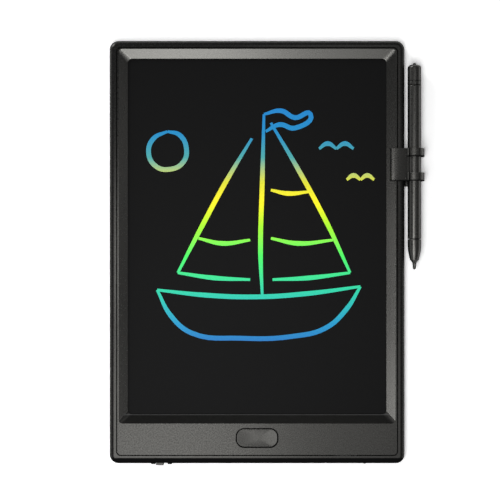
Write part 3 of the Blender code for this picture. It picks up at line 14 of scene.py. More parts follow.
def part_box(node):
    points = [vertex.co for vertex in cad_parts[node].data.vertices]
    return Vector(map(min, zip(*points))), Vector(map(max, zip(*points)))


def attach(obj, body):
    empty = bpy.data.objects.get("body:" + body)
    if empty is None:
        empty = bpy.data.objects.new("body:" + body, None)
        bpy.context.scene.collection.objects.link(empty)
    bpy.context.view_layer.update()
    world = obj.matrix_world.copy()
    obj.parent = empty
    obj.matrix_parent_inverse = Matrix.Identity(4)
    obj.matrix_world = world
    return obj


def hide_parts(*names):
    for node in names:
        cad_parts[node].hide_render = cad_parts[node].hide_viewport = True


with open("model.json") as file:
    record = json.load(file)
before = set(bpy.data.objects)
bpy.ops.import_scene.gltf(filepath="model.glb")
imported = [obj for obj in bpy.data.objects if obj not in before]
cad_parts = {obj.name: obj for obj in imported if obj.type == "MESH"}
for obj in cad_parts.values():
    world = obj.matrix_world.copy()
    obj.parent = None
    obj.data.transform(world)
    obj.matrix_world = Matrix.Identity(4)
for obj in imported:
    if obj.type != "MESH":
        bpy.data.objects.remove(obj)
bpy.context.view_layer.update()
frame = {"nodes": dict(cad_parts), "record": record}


# %% [markdown]
# A material is a small network of nodes. Written node by node it is hard to read, so a class wraps the
# output of a node, and plain sums on it add the Math nodes. The reflected forms do the same where a
# plain number stands first. What gets a name of its own is what no sign stands for: a limit, a fold to
# and fro, and a soft step.

# %% Sums of fields


class Field:
    """A value that varies over the surface: the output of a node, which adds Math nodes in a sum."""

    def __init__(self, network, socket):
        self.network = network
        self.socket = socket

    def __add__(self, other):
        return self.network.sum_of("ADD", self, other)

    def __mul__(self, other):
        return self.network.sum_of("MULTIPLY", self, other)

    __radd__ = __add__
    __rmul__ = __mul__

    def __sub__(self, other):
        return self.network.sum_of("SUBTRACT", self, other)

    def __rsub__(self, other):
        return self.network.sum_of("SUBTRACT", other, self)

    def __pow__(self, other):
        return self.network.sum_of("POWER", self, other)

    def __gt__(self, other):
        return self.network.sum_of("GREATER_THAN", self, other)

    def __lt__(self, other):
        return self.network.sum_of("LESS_THAN", self, other)

    def __abs__(self):
        return self.network.sum_of("ABSOLUTE", self)

    def at_least(self, low):
        """The field, or low where the field is lower."""
        return self.network.sum_of("MAXIMUM", self, low)

    def at_most(self, high):
        """The field, or high where the field is higher."""
        return self.network.sum_of("MINIMUM", self, high)

    def folded(self, width):
        """Going to and fro between 0 and width."""
        return self.network.sum_of("PINGPONG", self, width)

    def eased(self, start, full):
        """0 up to start and 1 from full on, with a soft step between them. Full may be the lower one."""
        sockets = {"Value": self, "From Min": start, "From Max": full}
        return self.network.node("MapRange", {"interpolation_type": "SMOOTHSTEP"}, sockets)


print("fields ready")

# %% [markdown]
# A material and the world's background are both networks of nodes, so one class serves both. It has
# one method that adds any node. Its settings go first, because they decide which sockets the node has.
# A colour ramp has stops instead of sockets, so it has a method of its own.

# %% Networks of nodes


def put(socket, value):
    """Give a socket a constant: a colour is written as red, green and blue."""
    socket.default_value = (*value, 1) if socket.type == "RGBA" else value


class Network:
    """The nodes of one material, or of the world."""

    def __init__(self, owner):
        owner.use_nodes = True
        self.tree = owner.node_tree

    def node(self, kind, settings=(), sockets=(), output=0):
        """Add a node: its settings first, then its sockets, and one of its outputs comes back."""
        made = self.tree.nodes.new("ShaderNode" + kind)
        for name, value in dict(settings).items():
            setattr(made, name, value)
        for name, value in dict(sockets).items():
            if isinstance(value, Field):
                self.tree.links.new(value.socket, made.inputs[name])
            else:
                put(made.inputs[name], value)
        return Field(self, made.outputs[output])

    def sum_of(self, operation, first, second=0):
        """A Math node of two terms, or of one."""
        return self.node("Math", {"operation": operation}, {0: first, 1: second})

    def part(self, vector, axis):
        """One coordinate of a vector: X, Y or Z."""
        return self.node("SeparateXYZ", (), {0: vector}, axis)

    def ramp(self, share, stops):
        """The colours of a ramp, whose stops are pairs of a place and a colour."""
        colors = self.node("ValToRGB", (), {"Fac": share})
        elements = colors.socket.node.color_ramp.elements
        for place, color in stops[len(elements):]:
            elements.new(place)
        for element, (place, color) in zip(elements, stops):
            element.position = place
            element.color = (*color, 1)
        return colors

    def seen_rays(self, *kinds):
        """1 for rays of the kinds that are named, and 0 for all the others."""
        return sum(self.node("LightPath", output=f"Is {kind} Ray") for kind in kinds)

    def show(self, shader, output):
        """Let a shader go to the network's output."""
        self.tree.links.new(shader.socket, self.tree.nodes[output].inputs["Surface"])


print("networks ready")

# %% [markdown]
# A finish is the network of one material round its Principled shader. What is the same everywhere goes
# straight onto the shader's own sockets, and nodes only feed what varies. Where a spot has another
# finish, its faces could get a second material. Often the spot doesn't follow the faces, and then a
# second shader covers the first one by a mask.

# %% Finishes
HEIGHT_UNIT = 1.0
MIX_FIRST = 6
MIX_SECOND = 7
MIX_COLOR = 2


class Finish(Network):
    """One material: its Principled shader, and the nodes that feed it."""

    def __init__(self, name, **constants):
        self.material = bpy.data.materials.new(name)
        super().__init__(self.material)
        self.shader = self.tree.nodes["Principled BSDF"]
        for socket, value in constants.items():
            put(self.shader.inputs[socket.replace("_", " ")], value)
        self.surface = Field(self, self.shader.outputs[0])
        self.place = self.node("TexCoord", output="Object")

    def along(self, axis):
        """The surface's own coordinate along one axis."""
        return self.part(self.place, axis)

    def mix(self, factor, first, second):
        """A colour between two. Its sockets go by number, as each data type has an A, a B and a result."""
        settings = {"data_type": "RGBA", "clamp_factor": True}
        sockets = {"Factor": factor, MIX_FIRST: first, MIX_SECOND: second}
        return self.node("Mix", settings, sockets, MIX_COLOR)

    def noise(self, size, detail=2, place=None):
        """Soft noise from 0 to 1, whose blots are about size metres across."""
        sockets = {"Vector": place or self.place, "Scale": 1 / size, "Detail": detail}
        return self.node("TexNoise", (), sockets)

    def feed(self, socket, field):
        """Let a field drive one of the shader's sockets."""
        self.tree.links.new(field.socket, self.shader.inputs[socket])

    def relief(self, height):
        """Bump the surface by a height."""
        sockets = {"Height": height, "Distance": HEIGHT_UNIT, "Strength": 1}
        self.feed("Normal", self.node("Bump", (), sockets))

    def cover(self, factor, kind, color):
        """Let a plain shader of one kind and colour cover the surface, by a factor from 0 to 1."""
        self.cover_with(factor, self.node(kind, (), {"Color": color}))

    def cover_with(self, factor, shader):
        """Let another shader cover the surface, by a factor from 0 to 1."""
        self.surface = self.node("MixShader", (), {0: factor, 1: self.surface, 2: shader})
        self.show(self.surface, "Material Output")


print("finishes ready")

# %% [markdown]
# The upright walls of a mould are eroded more than its flat face, so that the part comes out of it
# easily. They hardly shine. Where two pieces meet there is a thin dark line, because no light gets into
# the gap. Both could be painted on an image, but an image blurs when the camera comes near. A dull
# black covers the plastic here instead. The mask of the walls comes from the way that the surface
# faces, and the mask of a line comes from the distance to its middle.

# %% Dull walls and dark lines
# The dull black also paints shade: round the button, below the clip's ends, on the rim's lower end.
DULL_BLACK = (0.006, 0.006, 0.006)
WALL_START = 0.80
WALL_FULL = 0.35


def dull_walls(finish, share):
    """Cover what stands upright with a dull black, and the flat faces not at all."""
    rise = abs(finish.part(finish.node("TexCoord", output="Normal"), "Z"))
    finish.cover(rise.eased(WALL_START, WALL_FULL) * share, "BsdfDiffuse", DULL_BLACK)


def painted_line(finish, offset, half_width, color=DULL_BLACK):
    """Paint a narrow line in a dull colour, dull black unless another is given: painted shade, a painted
    highlight or a groove. Its middle is where the offset is 0.
    """
    finish.cover(abs(offset).eased(half_width, 0), "BsdfDiffuse", color)


print("walls turn dull from", WALL_START, "to", WALL_FULL)

# %% [markdown]
# Nearly all of the tablet is black ABS, moulded in tools whose walls are spark eroded. The erosion
# leaves a fine leathery grain that scatters the light: seen close, each speck is a bit lighter or
# darker than the next. A displaced mesh would need millions of faces for it, so noise does the work.
# A fine and a coarse noise together make the specks, which drive the colour and the bump. The coarse
# one also drives the roughness, and a far larger one makes faint blotches. One function makes all the
# black plastics, each with its own two greys, roughness, depth of the grain and gloss.

# %% Moulded grain
GRAIN_FINE = 0.00035
GRAIN_COARSE = 0.0009
BLOTCH = 0.020
FINE_SHARE = 0.5
NOISE_MIDDLE = 0.5
SPECK_CONTRAST = 3.0
BLOTCH_CONTRAST = 0.4
GLARE_TINT = (1.0, 0.985, 0.93)
WALL_SHARE = 0.92
PLAIN_SPREAD = 0.20


def around(noise, middle, spread):
    """A noise, which lies round its own middle, brought to another middle and spread."""
    return (noise - NOISE_MIDDLE) * spread + middle


def grained(name, greys, roughness, depth, gloss, walls=WALL_SHARE, spread=PLAIN_SPREAD, form=None):
    """Black plastic with a moulded grain, and with a form in relief if one is given."""
    finish = Finish(name, Specular_IOR_Level=gloss, Specular_Tint=GLARE_TINT)
    fine, coarse, blotch = (finish.noise(size) for size in (GRAIN_FINE, GRAIN_COARSE, BLOTCH))
    speck = fine * FINE_SHARE + coarse * (1 - FINE_SHARE)
    tone = around(speck, NOISE_MIDDLE, SPECK_CONTRAST) + around(blotch, 0, BLOTCH_CONTRAST)
    finish.feed("Base Color", finish.mix(tone, *greys))
    finish.feed("Roughness", around(coarse, roughness, spread))
    height = speck * depth
    if form:
        height = height + form(finish)
    finish.relief(height)
    dull_walls(finish, walls)
    return finish


print("grain:", GRAIN_FINE, "and", GRAIN_COARSE, "m")

# %% [markdown]
# The shell is the back half of the case, and its rounded rim frames the front. Its grain is shallow.
# The lower end of the rim turns away from all the light and looks nearly black, which is painted shade.
# A second material on its faces would end in a hard edge, so the cover's finish paints the dull black
# over that end instead, in a soft step along Y. The tray and the lock knob have the plain finish of
# the shell.

# %% The shell
SHELL_GRAIN = 0.0000020
SHELL_GREYS = ((0.009, 0.009, 0.009), (0.013, 0.013, 0.0128))
SHELL_NUMBERS = {"greys": SHELL_GREYS, "roughness": 0.26, "depth": SHELL_GRAIN, "gloss": 0.36}
RIM_FOOT_START = -0.1186
RIM_FOOT_FULL = -0.1193

SHELL = grained("satin_black_shell", **SHELL_NUMBERS)
COVER = grained("satin_black_cover", **SHELL_NUMBERS)
# Painted shade: dull black over the lower end of the rim, in a soft step along Y.
COVER.cover(COVER.along("Y").eased(RIM_FOOT_START, RIM_FOOT_FULL), "BsdfDiffuse", DULL_BLACK)
print("shell:", SHELL.material.name, COVER.material.name)

# %% [markdown]
# The frame's face has the deepest grain of all, and the button that sits in it has nearly none. A thin
# dark gap runs round the button, with round corners. The gap could be cut wider in the solid, but it is
# as narrow as the button's play. Both finishes get the dark line instead. Its distance is that of a
# rounded rectangle: how far a point lies beyond the straight sides, and from the corner's centre.

# %% The frame and the button
FRAME_GRAIN = 0.0000056
FRAME_SPREAD = 0.46
BUTTON_GRAIN = 0.0000006
GAP_HALF_WIDTH = 0.01205
GAP_HALF_DEPTH = 0.00543
GAP_CORNER = 0.0046
GAP_BAND = 0.00060


def middle_of(box):
    """The middle of a box."""
    return (box[0] + box[1]) / 2


def gap_line(finish, place):
    """Draw the dark line of the gap round the button, which is a rounded rectangle."""
    beyond = [
        (abs(finish.along(axis) - middle) - (half - GAP_CORNER)).at_least(0)
        for axis, middle, half in (("X", place.x, GAP_HALF_WIDTH), ("Y", place.y, GAP_HALF_DEPTH))
    ]
    radius = (beyond[0] * beyond[0] + beyond[1] * beyond[1]) ** 0.5
    painted_line(finish, radius - GAP_CORNER, GAP_BAND)


FRAME_GREYS = ((0.006, 0.006, 0.006), (0.010, 0.010, 0.0096))
BUTTON_GREYS = ((0.006, 0.006, 0.006), (0.009, 0.009, 0.0087))
FRAME = grained(
    "grained_black_frame", FRAME_GREYS, roughness=0.28, depth=FRAME_GRAIN, gloss=0.40, spread=FRAME_SPREAD,
)
BUTTON = grained("satin_black_button", BUTTON_GREYS, roughness=0.24, depth=BUTTON_GRAIN, gloss=0.40)
BUTTON_PLACE = middle_of(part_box("tact_switch"))
for finish in (FRAME, BUTTON):
    gap_line(finish, BUTTON_PLACE)
print("button gap:", 2 * GAP_HALF_WIDTH, "by", 2 * GAP_HALF_DEPTH, "m")

# %% [markdown]
# Four slopes lead from the frame's face down to the screen. Light leaves them evenly, so they are
# smoother than the face and have their own finish. A mask in the frame's finish could do it, but the
# slopes have faces of their own, so a second material is simpler. The lower slope gets none of the
# light, and its finish has painted shade: darker greys and less gloss. Where it meets the film, a thin
# painted highlight runs along its edge, which is drawn like the dark lines, with a light grey.

# %% The slopes
SLOPE_GRAIN = 0.0000009
SLOPE_SPREAD = 0.08
SLOPE_GREYS = ((0.006, 0.006, 0.006), (0.008, 0.008, 0.0078))
FOOT_SHADE_GREYS = ((0.004, 0.004, 0.004), (0.008, 0.008, 0.0076))
WINDOW_FOOT_Y = frame["record"]["physics"]["openings"][0]["box_m"][0][1]
HIGHLIGHT_LINE = 0.0005
HIGHLIGHT_GREY = (0.070, 0.070, 0.070)

SLOPE = grained(
    "satin_black_slope", SLOPE_GREYS, roughness=0.26, depth=SLOPE_GRAIN, gloss=1, spread=SLOPE_SPREAD,
)
# The foot's darker greys and lower gloss paint the shade of the lower slope.
FOOT = grained("painted_shade_foot", FOOT_SHADE_GREYS, roughness=0.34, depth=SLOPE_GRAIN, gloss=0.14)
# A painted highlight: a thin light line along the foot of the window.
painted_line(FOOT, FOOT.along("Y") - (WINDOW_FOOT_Y - HIGHLIGHT_LINE / 2), HIGHLIGHT_LINE, HIGHLIGHT_GREY)
print("foot of the window at Y", WINDOW_FOOT_Y)

# %% [markdown]
# The plate of the clip isn't flat but slightly crowned, as a spring clip is: a soft ridge runs along it
# near its left edge. It falls off by less than a millimetre, which is enough to show as a band of
# light. A few more rows of faces could carry it. Here it is a height that grows with the square of the
# distance from the ridge, which bends the light in the same way. Two dark lines are a painted shadow
# below the lower ends of the plate and of the rings. The line of the rings leaves out the plate: there
# a whole metre is added to its offset.

# %% Crowned clip
PEN_GRAIN = 0.0000015
CROWN_X = 0.0795
CROWN_END_X = 0.0865
CROWN_FALL = -14.0
CROWN_EDGE_FALL = -90.0
PLATE_END_Y = 0.0413
RING_END_Y = 0.0554
END_SHADOW_HALF = 0.0007
CLIP_GREYS = ((0.006, 0.006, 0.006), (0.010, 0.010, 0.0098))


def crown(finish):
    """The height of a ridge along Y, which falls off on both sides and is level beyond the plate."""
    across = finish.along("X")
    right = (across.at_most(CROWN_END_X) - CROWN_X).at_least(0)
    left = (CROWN_X - across).at_least(0)
    return right * right * CROWN_FALL + left * left * CROWN_EDGE_FALL


CLIP = grained("satin_black_clip", CLIP_GREYS, roughness=0.28, depth=PEN_GRAIN, gloss=1, form=crown)
up_clip = CLIP.along("Y")
# Painted shadow below the lower ends of the plate and of the rings.
painted_line(CLIP, up_clip - PLATE_END_Y, END_SHADOW_HALF)
on_plate = CLIP.along("X") < CROWN_END_X
painted_line(CLIP, up_clip - RING_END_Y + on_plate, END_SHADOW_HALF)
print("clip ridge at X", CROWN_X)

# %% [markdown]
# The stylus cap has a collar between two fine zigzag grooves, which give the fingers a hold when it is
# pulled off, and a straight groove parts the barrel from the tip. Grooves this fine could be cut into
# the mesh, but a line in the finish shows the same from above. Round a turned part a zigzag is the
# angle folded to and fro, so the offset from the line needs no more than that.

# %% Grooved stylus
PEN_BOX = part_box("stylus_barrel")
PEN_AXIS = middle_of(PEN_BOX)
TIP_SEAM = PEN_BOX[0].y
CAP_GROOVES = (0.09646, 0.09878)
GROOVE_HALF = 0.00050
ZIGZAG_RISE = 0.00070
ZIGZAG_COUNT = 14
PEN_WALL_SHARE = 1.0
PEN_GREYS = ((0.007, 0.007, 0.007), (0.014, 0.014, 0.0138))
NIB_GREYS = ((0.006, 0.006, 0.0065), (0.012, 0.012, 0.012))


def pen_plastic(name, grooves, rise):
    """The stylus plastic with grooves round the axis, which go to and fro along it by rise."""
    finish = grained(name, PEN_GREYS, roughness=0.30, depth=PEN_GRAIN, gloss=1, walls=PEN_WALL_SHARE)
    x, y, z = (finish.along(axis) for axis in "XYZ")
    angle = finish.sum_of("ARCTAN2", x - PEN_AXIS.x, z - PEN_AXIS.z)
    tooth = math.pi / ZIGZAG_COUNT
    zigzag = angle.folded(tooth) * (rise / tooth)
    for place in grooves:
        painted_line(finish, y - zigzag - (place - rise / 2), GROOVE_HALF)
    return finish


PEN = pen_plastic("satin_black_pen", [TIP_SEAM], 0)
CAP = pen_plastic("grooved_black_cap", CAP_GROOVES, ZIGZAG_RISE)
NIB = grained(
    "hard_black_nib", NIB_GREYS, roughness=0.26, depth=PEN_GRAIN, gloss=1, walls=PEN_WALL_SHARE,
)
print("grooves:", len(CAP_GROOVES) + 1)

# %% [markdown]
# The writing film is a sandwich of clear sheets round a liquid crystal. Unwritten it is nearly black,
# and its face is etched so that it doesn't mirror the room. The etching could be a bump, but a very
# fine noise in the roughness is enough, because nothing on it can be seen at arm's length.

# %% Films
ETCH = 0.00012
ETCH_SPREAD = 0.2


def etched_film(name, dark, light, roughness):
    """A dark film with an etched face."""
    finish = Finish(name, Specular_IOR_Level=0.05)
    etch = finish.noise(ETCH)
    finish.feed("Base Color", finish.mix(etch, dark, light))
    finish.feed("Roughness", around(etch, roughness, ETCH_SPREAD))
    return finish


WRITING_FILM = etched_film("writing_film", (0.0074, 0.0074, 0.0077), (0.0090, 0.0090, 0.0090), 0.55)
BASE_FILM = etched_film("base_film", (0.020, 0.020, 0.024), (0.034, 0.034, 0.040), 0.35)
print("films:", WRITING_FILM.material.name, BASE_FILM.material.name)

# %% [markdown]
# Where the pen presses, the crystal turns and shows the coloured sheet below. The colour depends only on
# the height on the screen, as the sheet is printed with bands. So one ramp along Y colours every
# stroke, where a colour per stroke would break off at its ends. A little emission is painted light: it
# makes the strokes glow so that their colours stay clear. A noise breaks the line up as a hand does.

# %% Drawn lines
DRAWING_LOW = -0.056
DRAWING_HIGH = 0.086
WEAR = 0.0009
WEAR_SHARE = 0.25
WORN_COLOR = (0.01, 0.02, 0.02)
BANDS = [
    (0.00, (0.010, 0.110, 0.420)),
    (0.10, (0.010, 0.260, 0.500)),
    (0.24, (0.020, 0.560, 0.330)),
    (0.38, (0.060, 0.800, 0.110)),
    (0.50, (0.340, 0.820, 0.020)),
    (0.60, (0.900, 0.780, 0.010)),
    (0.68, (0.640, 0.640, 0.030)),
    (0.78, (0.060, 0.330, 0.330)),
    (0.88, (0.010, 0.220, 0.480)),
    (1.00, (0.010, 0.190, 0.520)),
]


def drawn_line():
    """The colour bands under the film, as they show where the pen has pressed."""
    # The emission is painted light: the strokes glow, though the film has no lamp.
    finish = Finish("drawn_line", Roughness=0.5, Emission_Strength=0.55, Specular_IOR_Level=0.2)
    sockets = {"Value": finish.along("Y"), "From Min": DRAWING_LOW, "From Max": DRAWING_HIGH}
    bands = finish.ramp(finish.node("MapRange", (), sockets), BANDS)
    color = finish.mix(finish.noise(WEAR) * WEAR_SHARE, bands, WORN_COLOR)
    for socket in ("Base Color", "Emission Color"):
        finish.feed(socket, color)
    return finish


LINE = drawn_line()
print("bands:", len(BANDS))

# %% [markdown]
# Inside the case lie the parts that make it work. They only show when the battery tray is out or the
# case is open, but each has the finish of the real one. Three of them have a fine regular pattern: the
# tracks under the board's green solder mask, the turns of the coil, and the conductors in the amber
# ribbon. A Wave texture or a folded coordinate draws such stripes at any size, and the same stripes
# raise the surface.

# %% Striped inner finishes
TRACK = 0.0011
TRACK_LEVEL = 0.62
TRACK_WANDER = 6
TRACK_HEIGHT = 0.00003
TURN = 0.00022
TURN_HEIGHT = 0.00004
CONDUCTOR = 0.0006
CONDUCTOR_SHARE = 0.5
CONDUCTOR_HEIGHT = 0.00002
STRIPE_ROUGHNESS = 0.35
STRIPE_SPREAD = 0.2


def waves(finish, size, direction, wander=0):
    """Soft bands from 0 to 1, one after the other in a direction, straight or wandering."""
    settings = {"wave_type": "BANDS", "bands_direction": direction}
    sockets = {"Vector": finish.place, "Scale": 1 / size, "Distortion": wander, "Detail": 1}
    return finish.node("TexWave", settings, sockets)


def laminate():
    """Green solder mask over copper tracks that run along the board."""
    finish = Finish("solder_mask", Coat_Weight=0.3)
    track = waves(finish, TRACK, "Y", TRACK_WANDER) > TRACK_LEVEL
    finish.feed("Base Color", finish.mix(track, (0.010, 0.085, 0.030), (0.040, 0.190, 0.060)))
    finish.feed("Roughness", around(finish.noise(TRACK), STRIPE_ROUGHNESS, STRIPE_SPREAD))
    finish.relief(track * TRACK_HEIGHT)
    return finish


def wound_copper():
    """Enamelled wire, laid turn on turn."""
    finish = Finish("wound_copper", Metallic=1)
    turn = waves(finish, TURN, "Z")
    finish.feed("Base Color", finish.mix(turn, (0.20, 0.06, 0.02), (0.72, 0.30, 0.13)))
    finish.feed("Roughness", around(turn, STRIPE_ROUGHNESS, STRIPE_SPREAD))
    finish.relief(turn * TURN_HEIGHT)
    return finish


def ribbon():
    """Amber film with the dark conductors in it."""
    finish = Finish("amber_ribbon", Roughness=0.3)
    stripe = finish.along("X").folded(CONDUCTOR) > CONDUCTOR * CONDUCTOR_SHARE
    finish.feed("Base Color", finish.mix(stripe, (0.50, 0.20, 0.03), (0.24, 0.07, 0.02)))
    finish.relief(stripe * CONDUCTOR_HEIGHT)
    return finish


LAMINATE = laminate()
COPPER = wound_copper()
RIBBON = ribbon()
print("striped finishes:", [finish.material.name for finish in (LAMINATE, COPPER, RIBBON)])

# %% [markdown]
# The contacts, the screws and the coin cell are plated or bare metal, brushed along X. Brushing is a
# noise that is stretched far along one axis. The rest is plain stuff: black epoxy, cream nylon, foam
# and board. Each is a tone and a height that wander a little, so one function makes them all. The table
# has for each its dark and its light tone, the size of the noise, the roughness and the height.

# %% Metals and plain inner finishes
BRUSH = 0.0002
BRUSH_STRETCH = (0.06, 1, 1)
BRUSH_HEIGHT = 0.000004
BRUSH_ROUGHNESS = 0.30
BRUSH_SPREAD = 0.3
DARK_METAL_SHARE = 0.75
PLAIN_DETAIL = 4
PLAIN_STUFFS = {
    "black_epoxy": ((0.014, 0.014, 0.015), (0.035, 0.035, 0.037), 0.0004, 0.55, 0.00001),
    "cream_nylon": ((0.52, 0.47, 0.36), (0.68, 0.63, 0.51), 0.0008, 0.50, 0.00001),
    "black_foam": ((0.006, 0.006, 0.006), (0.030, 0.030, 0.030), 0.0005, 0.85, 0.00006),
    "grey_board": ((0.13, 0.13, 0.125), (0.21, 0.21, 0.20), 0.0012, 0.70, 0.00002),
}


def plated(name, tone):
    """A metal of one tone, brushed along X."""
    finish = Finish(name, Metallic=1)
    stretched = finish.node("Mapping", (), {"Vector": finish.place, "Scale": BRUSH_STRETCH})
    brushed = finish.noise(BRUSH, place=stretched)
    dark = tuple(value * DARK_METAL_SHARE for value in tone)
    finish.feed("Base Color", finish.mix(brushed, dark, tone))
    finish.feed("Roughness", around(brushed, BRUSH_ROUGHNESS, BRUSH_SPREAD))
    finish.relief(brushed * BRUSH_HEIGHT)
    return finish


def plain(name, dark, light, size, roughness, height):
    """A plain stuff whose tone and height wander."""
    finish = Finish(name)
    wander = finish.noise(size, PLAIN_DETAIL)
    finish.feed("Base Color", finish.mix(wander, dark, light))
    finish.feed("Roughness", around(wander, roughness, PLAIN_SPREAD))
    finish.relief(wander * height)
    return finish


STEEL = plated("nickel_plate", (0.62, 0.61, 0.59))
COIN = plated("stainless_steel", (0.72, 0.72, 0.71))
EPOXY, CREAM, FOAM, BOARD = (plain(name, *numbers) for name, numbers in PLAIN_STUFFS.items())
print("plain finishes:", list(PLAIN_STUFFS))

# %% [markdown]
# A solid inside the case hardly shows, so it keeps its shape as it came in, with its sharp edges. Its
# finish goes into its material slot, and that is all it needs. The dictionary pairs each such solid
# with its finish.

# %% Dressing the inner solids
INNER = {
    "control_board": LAMINATE, "driver_chip": EPOXY, "boost_coil": COPPER, "capacitor": CREAM,
    "ribbon_connector": CREAM, "film_ribbon": RIBBON, "tact_switch": EPOXY, "switch_plunger": CREAM,
    "slide_switch": STEEL, "switch_lever": CREAM, "coin_cell": COIN, "positive_contact": STEEL,
    "negative_contact": STEEL, "board_screw_left": STEEL, "board_screw_right": STEEL,
    "film_gasket": FOAM, "backing_board": BOARD, "base_film": BASE_FILM, "writing_film": WRITING_FILM,
}

for node, finish in INNER.items():
    mesh = frame["nodes"][node].data
    mesh.materials.clear()
    mesh.materials.append(finish.material)
print("dressed as they are:", len(INNER))

# %% [markdown]
# The outer mouldings are seen from near, so their edges matter. A mould never makes a knife edge: a
# small round catches the light along each corner. The rounds could be part of the solid, but they
# would make it heavy. A copy of the solid gets them instead: it is merged into one skin and its flat
# triangles are joined. A Bevel modifier then rounds every sharp edge, and Weighted Normal keeps the
# broad faces flat.

# %% Making a piece
MERGE = 0.000002
FLAT_ANGLE = math.radians(0.5)
SMOOTH_ANGLE = math.radians(18)
EDGE_STEPS = 2


def merged_copy(node):
    """A CAD solid as one skin, with the triangles of its flat faces joined."""
    bm = bmesh.new()
    bm.from_mesh(frame["nodes"][node].data)
    bmesh.ops.remove_doubles(bm, verts=bm.verts, dist=MERGE)
    bmesh.ops.dissolve_limit(bm, angle_limit=FLAT_ANGLE, verts=bm.verts, edges=bm.edges)
    return bm


def round_edges(piece, width):
    """Round a piece's sharp edges, and keep its broad faces flat."""
    bevel = piece.modifiers.new("edge_round", "BEVEL")
    bevel.width = width
    bevel.segments = EDGE_STEPS
    bevel.limit_method = "ANGLE"
    bevel.angle_limit = SMOOTH_ANGLE
    flatten = piece.modifiers.new("flat_faces", "WEIGHTED_NORMAL")
    flatten.keep_sharp = True


def add_piece(name, bm, finish, body):
    """Make a piece from a bmesh, smooth where its faces nearly agree, which rides with a body."""
    mesh = bpy.data.meshes.new(name)
    bm.to_mesh(mesh)
    bm.free()
    mesh.materials.append(finish.material)
    mesh.shade_smooth()
    mesh.set_sharp_from_angle(angle=SMOOTH_ANGLE)
    piece = bpy.data.objects.new(name, mesh)
    bpy.context.scene.collection.objects.link(piece)
    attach(piece, body)
    print(name, len(mesh.polygons), "faces")
    return piece


# %% [markdown]
# Each outer solid now gets its softened copy, which takes its place and moves with the same body. The
# edges of thin mouldings are nearly sharp. The clip is thicker and has a wider round.

# %% The mouldings
SHELL_EDGE = 0.00012
CLIP_EDGE = 0.00040
MOULDINGS = {
    "rear_cover": ("tablet", COVER, SHELL_EDGE),
    "front_frame": ("tablet", FRAME, SHELL_EDGE),
    "battery_tray": ("battery_tray", SHELL, SHELL_EDGE),
    "lock_knob": ("lock_slider", SHELL, SHELL_EDGE),
    "erase_button": ("erase_button", BUTTON, SHELL_EDGE),
    "pen_clip": ("pen_clip", CLIP, CLIP_EDGE),
    "stylus_barrel": ("stylus", PEN, SHELL_EDGE),
    "stylus_cap": ("stylus", CAP, SHELL_EDGE),
    "stylus_tip": ("stylus", PEN, SHELL_EDGE),
    "stylus_nib": ("stylus", NIB, SHELL_EDGE),
    "case_screw_left": ("tablet", STEEL, SHELL_EDGE),
    "case_screw_inner_left": ("tablet", STEEL, SHELL_EDGE),
    "case_screw_inner_right": ("tablet", STEEL, SHELL_EDGE),
    "case_screw_right": ("tablet", STEEL, SHELL_EDGE),
}

moulded = {}
for node, (body, finish, edge) in MOULDINGS.items():
    moulded[node] = add_piece(node + "_moulding", merged_copy(node), finish, body)
    round_edges(moulded[node], edge)
    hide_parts(node)
print("mouldings:", len(moulded))

# %% [markdown]
# The slopes round the screen belong to the frame's mesh but have their own finishes. Here the spots do
# follow the faces, so the faces get other materials. A slope is a face that looks neither straight up
# nor sideways. The lower slope and the corners beside it look up the screen as well, towards plus Y.

# %% Finishes of the slopes
STEEP_RISE = 0.5
FLAT_RISE = 0.98
LOW_SLOPE = 0.06
SLOPE_SLOT = 1
FOOT_SLOT = 2

sloped = moulded["front_frame"].data
for finish in (SLOPE, FOOT):
    sloped.materials.append(finish.material)
slopes = [face for face in sloped.polygons if STEEP_RISE < face.normal.z < FLAT_RISE]
# The lower slope and its corners get the foot's finish, with its painted shade.
for face in slopes:
    face.material_index = FOOT_SLOT if face.normal.y > LOW_SLOPE else SLOPE_SLOT
print("sloping faces:", len(slopes))

# %% [markdown]
# The drawing on the screen is a plain sailing boat, as anyone might sketch it. Each stroke is a row of
# points that the pen went through. An image could hold the drawing, but strokes stay sharp from near and
# are easy to change. The points are written in millimetres from the middle of the tablet.

# %% The strokes
MM = 0.001
STROKES = {
    "hull": [(-58, -22), (-50, -37), (-38, -47), (-10, -50), (20, -49), (40, -44), (52, -33), (60, -20)],
    "deck": [(-58, -22), (-30, -25), (0, -26), (30, -24), (60, -20)],
    "mast": [(3, -25), (2, 0), (3, 40), (4, 80)],
    "main_leech": [(8, 75), (25, 46), (41, 16), (54, -12)],
    "main_foot": [(9, -16), (30, -15), (54, -12)],
    "jib_leech": [(-3, 66), (-18, 41), (-32, 15), (-46, -12)],
    "jib_foot": [(-46, -12), (-25, -15), (-4, -16)],
    "main_seam_high": [(8, 36), (18, 34), (30, 35)],
    "main_seam_low": [(8, 8), (24, 5), (44, 7)],
    "jib_seam": [(-34, 8), (-20, 5), (-4, 7)],
    "pennant": [(4, 80), (14, 82), (22, 78), (31, 80), (22, 72), (13, 74), (5, 70)],
    "sun": [
        (-52, 70), (-60, 66), (-63, 58), (-59, 50), (-51, 48), (-43, 52), (-41, 60), (-45, 68), (-52, 70),
    ],
    "gull_left": [(36, 60), (41, 63), (46, 60)],
    "gull_left_wing": [(46, 60), (51, 63), (56, 60)],
    "gull_right": [(52, 42), (56, 44.5), (60, 42)],
    "gull_right_wing": [(60, 42), (64, 44.5), (68, 42)],
}
print("strokes:", len(STROKES))

# %% [markdown]
# A stroke is made as a smooth round curve, which Blender sweeps through the points. The curve becomes a
# mesh and is pressed flat, so that it lies on the film like ink. The pen starts and leaves softly, so
# the line is narrower at both ends.

# %% Drawing on the film
STROKE_RADIUS = 0.00140
STROKE_END_SHARE = 0.55
STROKE_ROUNDNESS = 2
STROKE_STEPS = 6
STROKE_THICKNESS = 0.00002
STROKE_RISE = 0.00002
FILM_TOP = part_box("writing_film")[1].z


